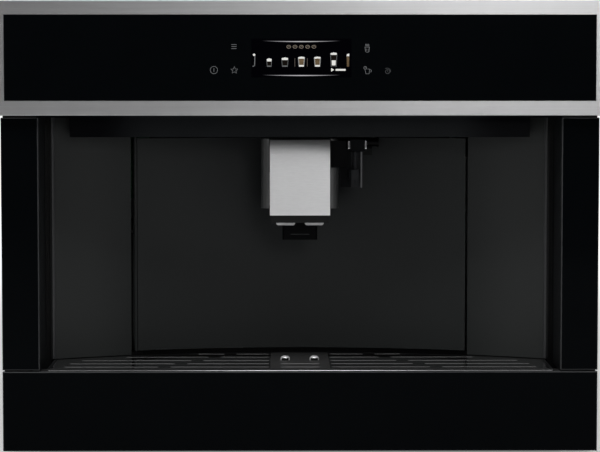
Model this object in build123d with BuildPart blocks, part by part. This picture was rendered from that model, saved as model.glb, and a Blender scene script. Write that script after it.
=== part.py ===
"""Built-in coffee machine, 60 cm wide, for a 45 cm high cabinet niche.

Millimetres. +X right, +Z up, the front faces -Y. The origin is the middle of the footprint, at the base.
A fixed base frame carries rails, and the whole machine pulls out on them. The front has a steel control
panel over two black glass columns, with a curved niche between them for the cups. The middle of the
niche's back is a service door, which carries the height-adjustable coffee spout.
"""
import os
from math import sqrt

from build123d import *

os.makedirs("parts", exist_ok=True)

# ---------------------------------------------------------------- driving dimensions
width = 595.0
height = 455.0
depth = 361.0

panel_proud = 9.0          # the control panel stands this far in front of the black glass
fascia_depth = 21.5        # black glass face to the cabinet's front edge
fascia_bottom = 5.0
fascia_glass = 6.0
glass_bevel = 0.8
frame_wall = 3.0

panel_height = 114.0
panel_strip_side = 4.7
panel_strip_top = 14.2
panel_strip_bottom = 14.5
panel_glass_thick = 4.0
panel_glass_recess = 0.2
panel_ledge = 2.3
panel_skin = 1.5
display_window = (400.0, 62.0)
display_size = (98.0, 42.0)
display_board = (440.0, 78.0, 1.6)

column_width = 37.0
column_seam = 1.7          # lower glass to column
panel_seam = 2.3           # column to control panel
lower_glass_height = 80.0
tray_edge_inset = 7.5      # column's inner edge to the tray

niche_depth = 143.0        # at the middle of the curve
niche_radius = 533.0
niche_wall = 3.0
niche_wall_gap = 4.1       # side wall to the curved wall's edge
niche_side_wall = 2.0
niche_side_depth = 70.0
door_bottom_gap = 4.9      # tray top to the service door, clears the floats
side_wall_gap = 0.6        # tray top to the fixed walls
wall_return = 3.0

door_seam_half = 174.3
door_seam = 2.6
door_top_gap = 3.3
door_barrel_radius = 2.2
door_pin_radius = 1.5
door_rib_depth = 7.0
door_rib_width = 4.0

hood_drop = 20.7           # ceiling down to the hood's underside
hood_corner = 23.0         # hood's end to the curved wall's edge
hood_front_depth = 50.0
hood_plate = 3.0
hood_overhang = 9.5        # past the wall's rear face
hood_lip = 12.0            # hangs down behind the door's top edge
lamp_size = (60.0, 12.0, 1.5)
lamp_offset = (110.0, 14.0)

tray_thick = 2.7           # lower glass to the tray's top
tray_front_inset = 2.5
tray_rim = 1.0
tray_lip_width = 3.0
tray_wall = 2.0
tray_arc_gap = 1.5
grid_thick = 1.4
grid_slot_width = 5.0
grid_slot_rows = (17.0, 43.4, 69.4, 97.7, 124.0)
grid_rear_gap = 1.0        # more than at the other edges
float_radius = 4.9
float_offset = 15.0
float_depth = 75.0
float_height = 4.3         # above the grid

body_side_inset = 19.5     # front's side to the housing's side
sheet = 1.2
plate = 2.0
floor_gap = 8.0            # rails to the machine's floor
body_top_gap = 15.0        # top cover below the panel's top
back_inset = 2.5
running_gap = 0.3
pin_play = 0.05
screw_radius = 2.0
screw_head = (3.5, 1.6)

base_side_inset = 14.0
base_front_inset = 10.0
base_back_inset = 4.5
base_rear_drop = 14.0
base_hole_spacing = (460.0, 220.0)
base_hole_radius = 2.5
base_hole_shift = 8.0      # in front of the base's middle
rail_sheet = 1.5
rail_depth = 16.0
rail_bottom = 6.0
rail_height = 38.0
rail_back_inset = 10.5

spout_width = 61.0
spout_cover_sheet = 1.5
spout_face_depth = 40.0
spout_cover_length = 76.0
spout_top_gap = 3.0
spout_cover_return = 18.5
spout_top_radius = 14.0
spout_body_show = 7.5      # below the cover
spout_guide_half = 39.5
spout_guide_wall = 3.2
spout_guide_length = 71.0
spout_guide_top_gap = 2.0
spout_guide_depth = 59.5   # behind the black glass face
spout_guide_hollow = 52.0
spout_guide_lip = 2.5      # thickness of the lips that hold the spout in
spout_guide_corner = 6.5
spout_mouth_play = 1.0
spout_shoe = (10.0, 32.0)  # depth and length of the carriage's shoes
spout_shoe_play = 1.3
nozzle_depth = 67.0
nozzle_block_size = (35.6, 17.0, 18.5)
nozzle_bore = 3.0
nozzle_pitch = 20.0
outlet_strip = (19.0, 14.0, 2.6)
outlet_strip_offset = 14.5
feed_radius = 3.0
feed_bore = 2.0
feed_depth = 86.5
feed_drop = 13.0
feed_length = 47.0

steam_x = 59.0
steam_drop = 8.5
steam_nozzle_radius = 4.0
steam_nozzle_depth = 81.5
head_size = (15.0, 42.0, 13.0)
head_back_depth = 105.5
button_size = (2.6, 24.0, 9.0)
button_travel = 1.5

tank_size = (111.5, 149.0)     # width and height
tank_gaps = (13.9, 30.5)       # to the niche wall, and to the machine's rear
tank_window_play = 6.0
brew_insets = (153.0, 16.0)    # left and right side to the housing's right side
brew_gaps = (25.5, 40.5)       # to the niche's wall, and to the machine's rear
deck_drop = 148.0              # top cover down to the component deck
grinder_inset = 63.0           # to the housing's right side
grinder_rear_gap = 120.5
pump_width = 60.0
pump_gaps = (135.5, 35.5)      # front end and rear end to the machine's rear

# ---------------------------------------------------------------- worked-out planes
half = width / 2
body_half = half - body_side_inset
front = -depth / 2
back = depth / 2
face = front + panel_proud
cabinet_face = face + fascia_depth
glass_back = face + fascia_glass
panel_bottom = height - panel_height
lower_glass_top = fascia_bottom + lower_glass_height
column_bottom = lower_glass_top + column_seam
column_top = panel_bottom - panel_seam
ceiling = column_top
wall_top = ceiling - hood_drop
tray_top = lower_glass_top + tray_thick
wall_bottom = tray_top + door_bottom_gap
side_wall_bottom = tray_top + side_wall_gap
niche_half = half - column_width
niche_wall_half = niche_half - niche_wall_gap
hood_half = niche_wall_half - hood_corner
side_wall_outer = niche_half + niche_side_wall
arc_y = face + niche_depth - niche_radius
wall_back_radius = niche_radius + niche_wall
front_plate_back = cabinet_face + plate
body_inner = body_half - sheet
rail_top = rail_bottom + rail_height
base_half = body_half - base_side_inset
base_front = cabinet_face + base_front_inset
base_back = back - base_back_inset
base_hole_y = (base_front + base_back) / 2 - base_hole_shift
floor_bottom = rail_top + floor_gap
floor_top = floor_bottom + plate
body_top = height - body_top_gap
body_back = back - back_inset
back_inner = body_back - sheet
cover_bottom = body_top - sheet
door_top = wall_top - door_top_gap
spout_cover_top = wall_top - spout_top_gap
spout_cover_bottom = spout_cover_top - spout_cover_length
spout_body_bottom = spout_cover_bottom - spout_body_show
spout_guide_top = wall_top - spout_guide_top_gap
spout_guide_bottom = spout_guide_top - spout_guide_length
spout_guide_front = face + spout_guide_depth
spout_guide_back = spout_guide_front + spout_guide_hollow
feed_y = face + feed_depth
feed_z = wall_top - feed_drop
feed_end_z = feed_z - feed_length
steam_z = wall_top - steam_drop
steam_nozzle_front = face + steam_nozzle_depth
head_back = face + head_back_depth
bore_radius = door_pin_radius + pin_play
screw_bore = screw_radius + pin_play


def arc_at(x, radius=niche_radius):
    """Y of the niche's curve at x."""
    return arc_y + sqrt(radius**2 - x**2)


def block(x, y, z, mode=Mode.ADD):
    """A box between two limits on each axis."""
    with Locations(((x[0] + x[1]) / 2, (y[0] + y[1]) / 2, (z[0] + z[1]) / 2)):
        Box(x[1] - x[0], y[1] - y[0], z[1] - z[0], mode=mode)


def block_pair(x, y, z, mode=Mode.ADD):
    """The same box on the right and, mirrored, on the left."""
    block(x, y, z, mode)
    block((-x[1], -x[0]), y, z, mode)


def rod(start, direction, length, radius, mode=Mode.ADD):
    """A round bar from its start point along a direction."""
    with Locations(Plane(origin=start, z_dir=direction)):
        Cylinder(radius, length, align=(Align.CENTER, Align.CENTER, Align.MIN), mode=mode)


def curve_band(inner, outer, x, z, mode=Mode.ADD):
    """A vertical band that follows the niche's curve between two x limits."""
    with BuildSketch(Plane.XY.offset(z[0])) as band:
        with Locations((0, arc_y)):
            Circle(outer)
            Circle(inner, mode=Mode.SUBTRACT)
        with Locations(((x[0] + x[1]) / 2, arc_y + outer)):
            Rectangle(x[1] - x[0], outer, mode=Mode.INTERSECT)
    extrude(to_extrude=band.sketch, amount=z[1] - z[0], mode=mode)


def curve_plate(x_half, y_front, radius, z, mode=Mode.ADD):
    """A plate with a straight front edge, straight sides and a rear edge along the niche's curve."""
    with BuildSketch(Plane.XY.offset(z[0])) as outline:
        with Locations((0, (y_front + back) / 2)):
            Rectangle(2 * x_half, back - y_front)
        with Locations((0, arc_y)):
            Circle(radius, mode=Mode.INTERSECT)
    extrude(to_extrude=outline.sketch, amount=z[1] - z[0], mode=mode)


def save(built, name):
    """Label a finished piece and write it."""
    built.part.label = name
    export_step(built.part, f"parts/{name}.step")


# ---------------------------------------------------------------- base frame and rails
base_inner = base_half - plate
rail_y = (base_front, back - rail_back_inset)
rail_open = base_inner - rail_depth
rail_screw_y = (rail_y[0] + 40, rail_y[1] - 40)
rail_screw_z = (rail_bottom + rail_top) / 2

with BuildPart() as base_frame:
    block((-base_half, base_half), (base_front, base_back), (0, plate))
    block_pair((base_inner, base_half), (base_front, base_back), (plate, rail_top))
    block((-base_inner, base_inner), (base_back - plate, base_back),
          (plate, rail_top - base_rear_drop))
    with Locations((0, base_hole_y, plate)):
        with GridLocations(*base_hole_spacing, 2, 2):
            Hole(base_hole_radius)
    for y in rail_screw_y:
        for side in (-1, 1):
            rod((side * rail_open, y, rail_screw_z), (side, 0, 0), 40, screw_bore, Mode.SUBTRACT)
save(base_frame, "base_frame")

with BuildPart() as base_rails:
    block_pair((rail_open, base_inner), rail_y, (rail_bottom, rail_top))
    block_pair((rail_open, base_inner - rail_sheet), rail_y,
               (rail_bottom + rail_sheet, rail_top - rail_sheet), Mode.SUBTRACT)
    for y in rail_screw_y:
        for side in (-1, 1):
            rod((side * rail_open, y, rail_screw_z), (side, 0, 0), 40, screw_bore, Mode.SUBTRACT)
save(base_rails, "base_rails")

with BuildPart() as base_screws:
    for y in rail_screw_y:
        for side in (-1, 1):
            rod((side * (base_inner - rail_sheet), y, rail_screw_z), (side, 0, 0), plate + rail_sheet,
                screw_radius)
            rod((side * base_half, y, rail_screw_z), (side, 0, 0), screw_head[1], screw_head[0])
save(base_screws, "base_screws")

# The middle rail nests in the outer one, and the runner in the middle one.
middle_outer = base_inner - rail_sheet - running_gap
middle_z = (rail_bottom + rail_sheet + running_gap, rail_top - rail_sheet - running_gap)
middle_open = rail_open + 1
with BuildPart() as rail_middles:
    block_pair((middle_open, middle_outer), rail_y, middle_z)
    block_pair((middle_open, middle_outer - rail_sheet), rail_y,
               (middle_z[0] + rail_sheet, middle_z[1] - rail_sheet), Mode.SUBTRACT)
save(rail_middles, "rail_middles")

runner_outer = middle_outer - rail_sheet - running_gap
runner_inner = rail_open - 2.5
runner_z = (middle_z[0] + rail_sheet + running_gap, middle_z[1] - rail_sheet - running_gap)
skirt = (runner_inner - rail_sheet, runner_inner)
with BuildPart() as rail_runners:
    block_pair((runner_inner, runner_outer), rail_y, runner_z)
    block_pair((runner_inner + rail_sheet, runner_outer), rail_y,
               (runner_z[0] + rail_sheet, runner_z[1] - rail_sheet), Mode.SUBTRACT)
    for y in rail_screw_y:
        for side in (-1, 1):
            rod((side * (skirt[0] - 5), y, rail_screw_z), (side, 0, 0), 12, screw_bore, Mode.SUBTRACT)
save(rail_runners, "rail_runners")

# ---------------------------------------------------------------- housing
niche_rear = arc_at(0, wall_back_radius)
deck_bottom = body_top - deck_drop
tank_x = (-body_half + 0.5, -body_half + 0.5 + tank_size[0])
tank_y = (arc_at(tank_x[1], wall_back_radius) + tank_gaps[0], back - tank_gaps[1])
tank_z = (floor_top + 12, floor_top + 12 + tank_size[1])
tank_opening = ((tank_y[0] - tank_window_play, tank_y[1] + tank_window_play),
                (tank_z[0] - 8, tank_z[1] + 10))
brew_x = (body_half - brew_insets[0], body_half - brew_insets[1])
brew_y = (niche_rear + brew_gaps[0], back - brew_gaps[1])
infuser_opening = ((brew_y[0] - 12, brew_y[1] - 10.5), (floor_top + 8, deck_bottom - 4))
infuser_axis = (body_half - 3.5, brew_y[1] - 16)
infuser_lug = (body_half - 8, body_inner)
grinder_at = (body_half - grinder_inset, back - grinder_rear_gap)
body_y = (front_plate_back, body_back)
rim_inner = body_half - 13.5
cover_screw_y = (front_plate_back + 30, 0.0, back_inner - 30)
cover_screw_x = (rim_inner + body_half) / 2

with BuildPart() as chassis_floor:
    block((-body_inner, body_inner), (front_plate_back, back_inner), (floor_bottom, floor_top))
    block_pair(skirt, rail_y, (runner_z[0] + plate, floor_bottom))
    for y in rail_screw_y:
        for side in (-1, 1):
            rod((side * (skirt[0] - 5), y, rail_screw_z), (side, 0, 0), 12, screw_bore, Mode.SUBTRACT)
save(chassis_floor, "chassis_floor")

with BuildPart() as side_panel_left:
    block((-body_half, -body_inner), body_y, (floor_bottom, body_top))
    block((-body_inner, -rim_inner), (front_plate_back, back_inner), (cover_bottom - sheet, cover_bottom))
    block((-body_half - 1, -body_inner + 1), *tank_opening, Mode.SUBTRACT)
    with Locations(*[(-cover_screw_x, y, cover_bottom) for y in cover_screw_y]):
        Hole(screw_bore)
save(side_panel_left, "side_panel_left")

lug_y = (infuser_axis[1] - 5, infuser_axis[1] + 5)
with BuildPart() as side_panel_right:
    block((body_inner, body_half), body_y, (floor_bottom, body_top))
    block((rim_inner, body_inner), (front_plate_back, back_inner), (cover_bottom - sheet, cover_bottom))
    block((body_inner - 1, body_half + 1), *infuser_opening, Mode.SUBTRACT)
    block(infuser_lug, lug_y, (floor_top, infuser_opening[1][0]))
    block(infuser_lug, lug_y, (infuser_opening[1][1], deck_bottom))
    rod((*infuser_axis, floor_top), (0, 0, 1), deck_bottom - floor_top, bore_radius, Mode.SUBTRACT)
    with Locations(*[(cover_screw_x, y, cover_bottom) for y in cover_screw_y]):
        Hole(screw_bore)
save(side_panel_right, "side_panel_right")

# Back panel, with the inlet's cut-out and rows of vents.
inlet_x = (body_half - 98, body_half - 26)
inlet_z = (floor_top + 24, floor_top + 56)
vent_slot = (60.0, 5.0)
with BuildPart() as back_panel:
    block((-body_inner, body_inner), (back_inner, body_back), (floor_bottom, body_top))
    block((inlet_x[0] + 5, inlet_x[1] - 5), (back_inner - 1, body_back + 1),
          (inlet_z[0] + 4, inlet_z[1] - 4), Mode.SUBTRACT)
    with BuildSketch(Plane.XZ.offset(-body_back)) as vents:
        with Locations((-40, body_top - 70)):
            with GridLocations(90, 14, 3, 6):
                SlotOverall(*vent_slot)
    extrude(amount=sheet, mode=Mode.SUBTRACT)
save(back_panel, "back_panel")

# Openings in the top: bean hopper, ground-coffee funnel and grind knob.
hopper_x = (body_half - 102, brew_x[1])
hopper_y = (brew_y[0] - 20, brew_y[1])
hopper_wall = 2.5
chute_x = (brew_x[0] + 9, brew_x[0] + 39)
chute_y = (grinder_at[1] - 10, grinder_at[1] + 20)
chute_wall = 1.5
knob_at = (grinder_at[0] - 65, grinder_at[1] - 40)
knob_shaft_radius = 4.0
lid_thick = 4.0
lid_margin = 4.0
lid_barrel_radius = 2.5
lid_axis_z = body_top + 3.4
hopper_axis_y = hopper_y[1] + 8
chute_axis_y = chute_y[1] + 8
hopper_barrel_x = (hopper_x[0] + 14, hopper_x[1] - 14)
chute_barrel_x = (chute_x[0] + 6, chute_x[1] - 6)
ear = 4.0


def hinge_ears(barrel_x, axis_y):
    """Two ears with pin bores, beside a lid's barrel."""
    for x0 in (barrel_x[0] - running_gap - ear, barrel_x[1] + running_gap):
        block((x0, x0 + ear), (axis_y - 3, axis_y + 3), (body_top, lid_axis_z + 3))
        rod((x0 - 1, axis_y, lid_axis_z), (1, 0, 0), ear + 2, bore_radius, Mode.SUBTRACT)


with BuildPart() as top_cover:
    block((-body_inner, body_inner), (front_plate_back, back_inner), (cover_bottom, body_top))
    block((hopper_x[0] + hopper_wall, hopper_x[1] - hopper_wall),
          (hopper_y[0] + hopper_wall, hopper_y[1] - hopper_wall), (cover_bottom, body_top), Mode.SUBTRACT)
    block((chute_x[0] + chute_wall, chute_x[1] - chute_wall),
          (chute_y[0] + chute_wall, chute_y[1] - chute_wall), (cover_bottom, body_top), Mode.SUBTRACT)
    rod((*knob_at, cover_bottom), (0, 0, 1), sheet, knob_shaft_radius + running_gap, Mode.SUBTRACT)
    for side in (-1, 1):
        for y in cover_screw_y:
            rod((side * cover_screw_x, y, cover_bottom), (0, 0, 1), sheet, screw_bore, Mode.SUBTRACT)
    hinge_ears(hopper_barrel_x, hopper_axis_y)
    hinge_ears(chute_barrel_x, chute_axis_y)
save(top_cover, "top_cover")

with BuildPart() as housing_screws:
    for side in (-1, 1):
        for y in cover_screw_y:
            rod((side * cover_screw_x, y, cover_bottom - sheet), (0, 0, 1), 2 * sheet, screw_radius)
            rod((side * cover_screw_x, y, body_top), (0, 0, 1), screw_head[1], screw_head[0])
        for y in rail_screw_y:
            rod((side * skirt[0], y, rail_screw_z), (side, 0, 0), 2 * rail_sheet, screw_radius)
            rod((side * skirt[0], y, rail_screw_z), (-side, 0, 0), screw_head[1], screw_head[0])
save(housing_screws, "housing_screws")

# ---------------------------------------------------------------- front frame and fascia
frame_half = half - 1.5
frame_bottom = fascia_bottom + 2
pocket_front = glass_back + frame_wall
cable_slot = (150.0, 30.0)     # half length and height

with BuildPart() as front_frame:
    block((-frame_half, frame_half), (glass_back, cabinet_face), (frame_bottom, panel_bottom))
    block((-side_wall_outer, side_wall_outer), (glass_back, cabinet_face),
          (lower_glass_top, panel_bottom), Mode.SUBTRACT)
    block_pair((side_wall_outer + frame_wall, frame_half - frame_wall), (pocket_front, cabinet_face),
               (frame_bottom + frame_wall, panel_bottom - frame_wall), Mode.SUBTRACT)
    block((-side_wall_outer - frame_wall, side_wall_outer + frame_wall), (pocket_front, cabinet_face),
          (frame_bottom + frame_wall, lower_glass_top - frame_wall), Mode.SUBTRACT)
    block((-body_half, body_half), (cabinet_face, front_plate_back), (floor_bottom, body_top))
    block((-side_wall_outer, side_wall_outer), (cabinet_face, front_plate_back),
          (lower_glass_top, panel_bottom), Mode.SUBTRACT)
    block((-cable_slot[0], cable_slot[0]), (cabinet_face, front_plate_back),
          (panel_bottom + 30, panel_bottom + 30 + cable_slot[1]), Mode.SUBTRACT)
save(front_frame, "front_frame")


with BuildPart() as column_glasses:
    block_pair((niche_half, half), (face, glass_back), (column_bottom, column_top))
    chamfer(column_glasses.faces().group_by(Axis.Y)[0].edges(), glass_bevel)
save(column_glasses, "column_glasses")

with BuildPart() as lower_glass:
    block((-half, half), (face, glass_back), (fascia_bottom, lower_glass_top))
    chamfer(lower_glass.faces().sort_by(Axis.Y)[0].edges(), glass_bevel)
save(lower_glass, "lower_glass")

glass_x = half - panel_strip_side
glass_z = (panel_bottom + panel_strip_bottom, height - panel_strip_top)
glass_front = front + panel_glass_recess
ledge_front = glass_front + panel_glass_thick
ledge_back = ledge_front + panel_ledge
panel_mid = (glass_z[0] + glass_z[1]) / 2
window_z = (panel_mid - display_window[1] / 2, panel_mid + display_window[1] / 2)

with BuildPart() as panel_frame:
    block((-half, half), (front, cabinet_face), (panel_bottom, height))
    fillet(panel_frame.faces().sort_by(Axis.Y)[0].edges(), 0.8)
    block((-half + panel_skin, half - panel_skin), (ledge_back, cabinet_face),
          (panel_bottom + panel_skin, height - panel_skin), Mode.SUBTRACT)
    block((-glass_x, glass_x), (front, ledge_front), glass_z, Mode.SUBTRACT)
    block((-display_window[0] / 2, display_window[0] / 2), (ledge_front, ledge_back), window_z,
          Mode.SUBTRACT)
save(panel_frame, "panel_frame")

with BuildPart() as panel_glass:
    block((-glass_x + pin_play, glass_x - pin_play), (glass_front, ledge_front),
          (glass_z[0] + pin_play, glass_z[1] - pin_play))
    chamfer(panel_glass.faces().sort_by(Axis.Y)[0].edges(), 0.4)
save(panel_glass, "panel_glass")

with BuildPart() as display_module:
    block((-display_board[0] / 2, display_board[0] / 2), (ledge_back, ledge_back + display_board[2]),
          (panel_mid - display_board[1] / 2, panel_mid + display_board[1] / 2))
    block((-display_size[0] / 2, display_size[0] / 2), (ledge_front, ledge_back),
          (panel_mid - display_size[1] / 2, panel_mid + display_size[1] / 2))
    for x in (-160, -90, 90, 160):
        block((x - 9, x + 9), (ledge_back + display_board[2], ledge_back + display_board[2] + 5),
              (panel_mid - 9, panel_mid + 9))
save(display_module, "display_module")

# ---------------------------------------------------------------- cup niche
with BuildPart() as niche_sides:
    block_pair((niche_half, side_wall_outer), (glass_back, face + niche_side_depth),
               (lower_glass_top, ceiling))
save(niche_sides, "niche_sides")

wall_edge = door_seam_half + door_seam / 2
door_edge = door_seam_half - door_seam / 2
return_y = arc_at(niche_wall_half, wall_back_radius)
well_half = niche_wall_half - 0.4


def niche_side_wall_piece(side):
    """A fixed curved wall beside the door, with a corner strip up to the ceiling and a flange outwards."""
    span = sorted((side * wall_edge, side * niche_wall_half))
    strip = sorted((side * (hood_half + running_gap), side * niche_wall_half))
    flange = sorted((side * (niche_wall_half - 4), side * body_inner))
    skirting = sorted((side * (well_half + running_gap), side * body_inner))
    with BuildPart() as wall:
        curve_band(niche_radius, wall_back_radius, span, (side_wall_bottom, wall_top))
        curve_band(niche_radius, wall_back_radius, strip, (wall_top, ceiling))
        block(flange, (return_y, return_y + wall_return), (wall_bottom, ceiling))
        block(skirting, (return_y, return_y + wall_return), (floor_top, wall_bottom))
    return wall


niche_wall_left = niche_side_wall_piece(-1)
save(niche_wall_left, "niche_wall_left")
niche_wall_right = niche_side_wall_piece(1)
save(niche_wall_right, "niche_wall_right")

hinge_x = -(door_edge - door_barrel_radius)
hinge_y = arc_at(hinge_x, niche_radius + niche_wall / 2)
hood_front = face + hood_front_depth
hood_radius = wall_back_radius + hood_overhang
lip_half = door_edge - 16
lamp_y = hood_front + lamp_offset[1]

with BuildPart() as hood:
    curve_plate(hood_half, hood_front, hood_radius, (wall_top, wall_top + hood_plate))
    block((-hood_half, hood_half), (hood_front, hood_front + hood_plate), (wall_top, ceiling))
    side_end = arc_at(hood_half, niche_radius)
    block_pair((hood_half - hood_plate, hood_half), (hood_front, side_end), (wall_top, ceiling))
    curve_plate(side_wall_outer, glass_back, wall_back_radius, (ceiling, panel_bottom))
    curve_band(wall_back_radius + door_rib_depth + running_gap, hood_radius, (-lip_half, lip_half),
               (wall_top - hood_lip, wall_top))
    rod((hinge_x, hinge_y, wall_top), (0, 0, 1), hood_plate, bore_radius, Mode.SUBTRACT)
    with Locations(*[(x, lamp_y, wall_top) for x in (-lamp_offset[0], lamp_offset[0])]):
        Box(lamp_size[0] + 0.2, lamp_size[1] + 0.2, lamp_size[2] + 0.1,
            align=(Align.CENTER, Align.CENTER, Align.MIN), mode=Mode.SUBTRACT)
save(hood, "hood")

with BuildPart() as hood_lamps:
    with Locations(*[(x, lamp_y, wall_top + 0.1) for x in (-lamp_offset[0], lamp_offset[0])]):
        Box(*lamp_size, align=(Align.CENTER, Align.CENTER, Align.MIN))
save(hood_lamps, "hood_lamps")

# ---------------------------------------------------------------- drip tray
well_radius = wall_back_radius + 2.5
well_top = wall_bottom - 1
lug_half = 6.0
with BuildPart() as tray_well:
    curve_plate(well_half, front_plate_back, well_radius, (floor_top, floor_top + plate))
    curve_band(wall_back_radius, well_radius, (-well_half, well_half), (floor_top + plate, well_top))
    for side in (-1, 1):
        behind = sorted((side * (wall_edge + 1), side * (niche_wall_half - 6)))
        curve_band(wall_back_radius, well_radius, behind, (well_top, well_top + 10))
    well_corner = arc_at(well_half, (wall_back_radius + well_radius) / 2)
    block_pair((well_half - plate, well_half), (front_plate_back, well_corner),
               (floor_top + plate, lower_glass_top - 1))
    curve_band(niche_radius - tray_arc_gap + 2 * pin_play + running_gap, well_radius,
               (running_gap - wall_edge, hinge_x + lug_half), (lower_glass_top - 1, well_top))
    rod((hinge_x, hinge_y, lower_glass_top - 1), (0, 0, 1), 10, bore_radius, Mode.SUBTRACT)
save(tray_well, "tray_well")

tray_half = niche_half - tray_edge_inset
tray_front = face + tray_front_inset
tray_radius = niche_radius - tray_arc_gap
pan_bottom = floor_top + plate
rim_bottom = lower_glass_top + running_gap
rim_top = rim_bottom + tray_rim
basin_half = tray_half - 5
basin_front = front_plate_back + 3
basin_radius = tray_radius - 4
with BuildPart() as drip_pan:
    curve_plate(tray_half, tray_front, tray_radius, (rim_bottom, tray_top))
    curve_plate(tray_half - tray_lip_width, tray_front + tray_lip_width, tray_radius - tray_lip_width,
                (rim_top, tray_top), Mode.SUBTRACT)
    curve_plate(basin_half, basin_front, basin_radius, (pan_bottom, rim_bottom))
    curve_plate(basin_half - tray_wall, basin_front + tray_wall, basin_radius - tray_wall,
                (pan_bottom + tray_wall, rim_top), Mode.SUBTRACT)
save(drip_pan, "drip_pan")

grid_inset = tray_lip_width + running_gap
slot_start = 31.2
slot_gap = 11.5
slot_break = 147.0         # middle of the gap between slots, at the black glass
slot_lean = 0.60           # the gap drifts inwards towards the rear
slot_side_margin = (12.5, 0.15)    # at the black glass, and its drift
slot_rear_margin = (73.5, -0.44)
centre_slot = 40.0
grid_radius = tray_radius - grid_inset - grid_rear_gap
with BuildPart() as cup_grid:
    curve_plate(tray_half - grid_inset, tray_front + grid_inset, grid_radius, (rim_top, tray_top))
    with BuildSketch(Plane.XY.offset(tray_top)) as slots:
        for row in grid_slot_rows:
            y = face + row
            side_reach = tray_half - slot_side_margin[0] - slot_side_margin[1] * row
            curve_reach = sqrt(tray_radius**2 - (y - arc_y) ** 2)
            reach = min(side_reach, curve_reach - slot_rear_margin[0] - slot_rear_margin[1] * row)
            gap_at = slot_break - slot_lean * row
            for left, right in ((slot_start, gap_at - slot_gap / 2), (gap_at + slot_gap / 2, reach)):
                with Locations(((left + right) / 2, y), (-(left + right) / 2, y)):
                    SlotOverall(right - left, grid_slot_width)
        with Locations(*[(0, face + row) for row in grid_slot_rows[:2]]):
            SlotOverall(centre_slot, grid_slot_width)
        with Locations(*[(side * float_offset, face + float_depth) for side in (-1, 1)]):
            Circle(float_radius + 2 * running_gap)
    extrude(amount=-grid_thick, mode=Mode.SUBTRACT)
save(cup_grid, "cup_grid")

float_top = tray_top + float_height
with BuildPart() as level_floats:
    for side in (-1, 1):
        foot = (side * float_offset, face + float_depth, pan_bottom + tray_wall)
        rod(foot, (0, 0, 1), float_top - foot[2], float_radius)
        rod(foot, (0, 0, 1), 12, 11)
    fillet(level_floats.edges().filter_by(GeomType.CIRCLE).group_by(Axis.Z)[-1], 3.4)
save(level_floats, "level_floats")

# ---------------------------------------------------------------- service door with spout guide
door_z = (wall_bottom, door_top)
with BuildPart() as service_door:
    curve_band(niche_radius, wall_back_radius, (hinge_x, door_edge), door_z)
    rod((hinge_x, hinge_y, door_z[0]), (0, 0, 1), door_z[1] - door_z[0], door_barrel_radius)
    curve_band(wall_back_radius, wall_back_radius + door_rib_depth, (hinge_x + 8, door_edge - 2), door_z)
    curve_band(wall_back_radius, wall_back_radius + door_rib_depth + 1,
               (hinge_x + 8 + door_rib_width, door_edge - 2 - door_rib_width),
               (door_z[0] + door_rib_width, door_z[1] - door_rib_width), Mode.SUBTRACT)
    rod((hinge_x, hinge_y, door_z[1]), (0, 0, 1), door_top_gap + hood_plate - 0.5, door_pin_radius)
    rod((hinge_x, hinge_y, door_z[0]), (0, 0, -1), door_z[0] - lower_glass_top, door_pin_radius)
    rod((0, niche_rear - 14.5, feed_z), (0, 1, 0), 40, feed_radius, Mode.SUBTRACT)
save(service_door, "service_door")

cover_x = spout_width / 2
guide_inner = spout_guide_half - spout_guide_wall
guide_mouth = cover_x + spout_mouth_play
with BuildPart() as spout_guide:
    curve_plate(spout_guide_half, spout_guide_front, niche_radius, (spout_guide_bottom, spout_guide_top))
    fillet(spout_guide.edges().filter_by(Axis.Z).group_by(Axis.Y)[0], spout_guide_corner)
    block((-guide_inner, guide_inner), (spout_guide_front + spout_guide_lip, spout_guide_back),
          (spout_guide_bottom, spout_guide_top), Mode.SUBTRACT)
    block((-guide_mouth, guide_mouth), (spout_guide_front, spout_guide_front + spout_guide_lip),
          (spout_guide_bottom, spout_guide_top), Mode.SUBTRACT)
    block((-guide_inner, guide_inner),
          (spout_guide_back + spout_guide_wall, arc_at(guide_inner) - spout_guide_wall),
          (spout_guide_bottom, spout_guide_top - spout_guide_wall), Mode.SUBTRACT)
    rod((0, spout_guide_back - 1, feed_z), (0, 1, 0), 40, feed_radius, Mode.SUBTRACT)
save(spout_guide, "spout_guide")

with BuildPart() as coffee_feed_tube:
    with BuildLine() as feed_path:
        FilletPolyline((0, niche_rear + 3, feed_z), (0, feed_y, feed_z), (0, feed_y, feed_end_z),
                       radius=3 * feed_radius)
    with BuildSketch(Plane(origin=feed_path.line @ 0, z_dir=feed_path.line % 0)):
        Circle(feed_radius)
        Circle(feed_bore, mode=Mode.SUBTRACT)
    sweep()
save(coffee_feed_tube, "coffee_feed_tube")

# Coffee spout: the body slides in the guide, and the cover wraps its front.
spout_face = face + spout_face_depth
cover_back = spout_face + spout_cover_return
body_x = cover_x - spout_cover_sheet
body_front = spout_face + spout_cover_sheet
shoe_x = guide_inner - spout_shoe_play
carriage_y = (spout_guide_front + 6, spout_guide_back - running_gap)
carriage_top = spout_cover_top - 3
with BuildPart() as spout_cover:
    block((-cover_x, cover_x), (spout_face, cover_back), (spout_cover_bottom, spout_cover_top))
    top_edge = spout_cover.edges().filter_by(Axis.X).group_by(Axis.Z)[-1].sort_by(Axis.Y)[0]
    fillet(top_edge, spout_top_radius)
    offset(amount=-spout_cover_sheet, kind=Kind.INTERSECTION,
           openings=[spout_cover.faces().sort_by(Axis.Y)[-1], spout_cover.faces().sort_by(Axis.Z)[0]])
save(spout_cover, "spout_cover")

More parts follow.
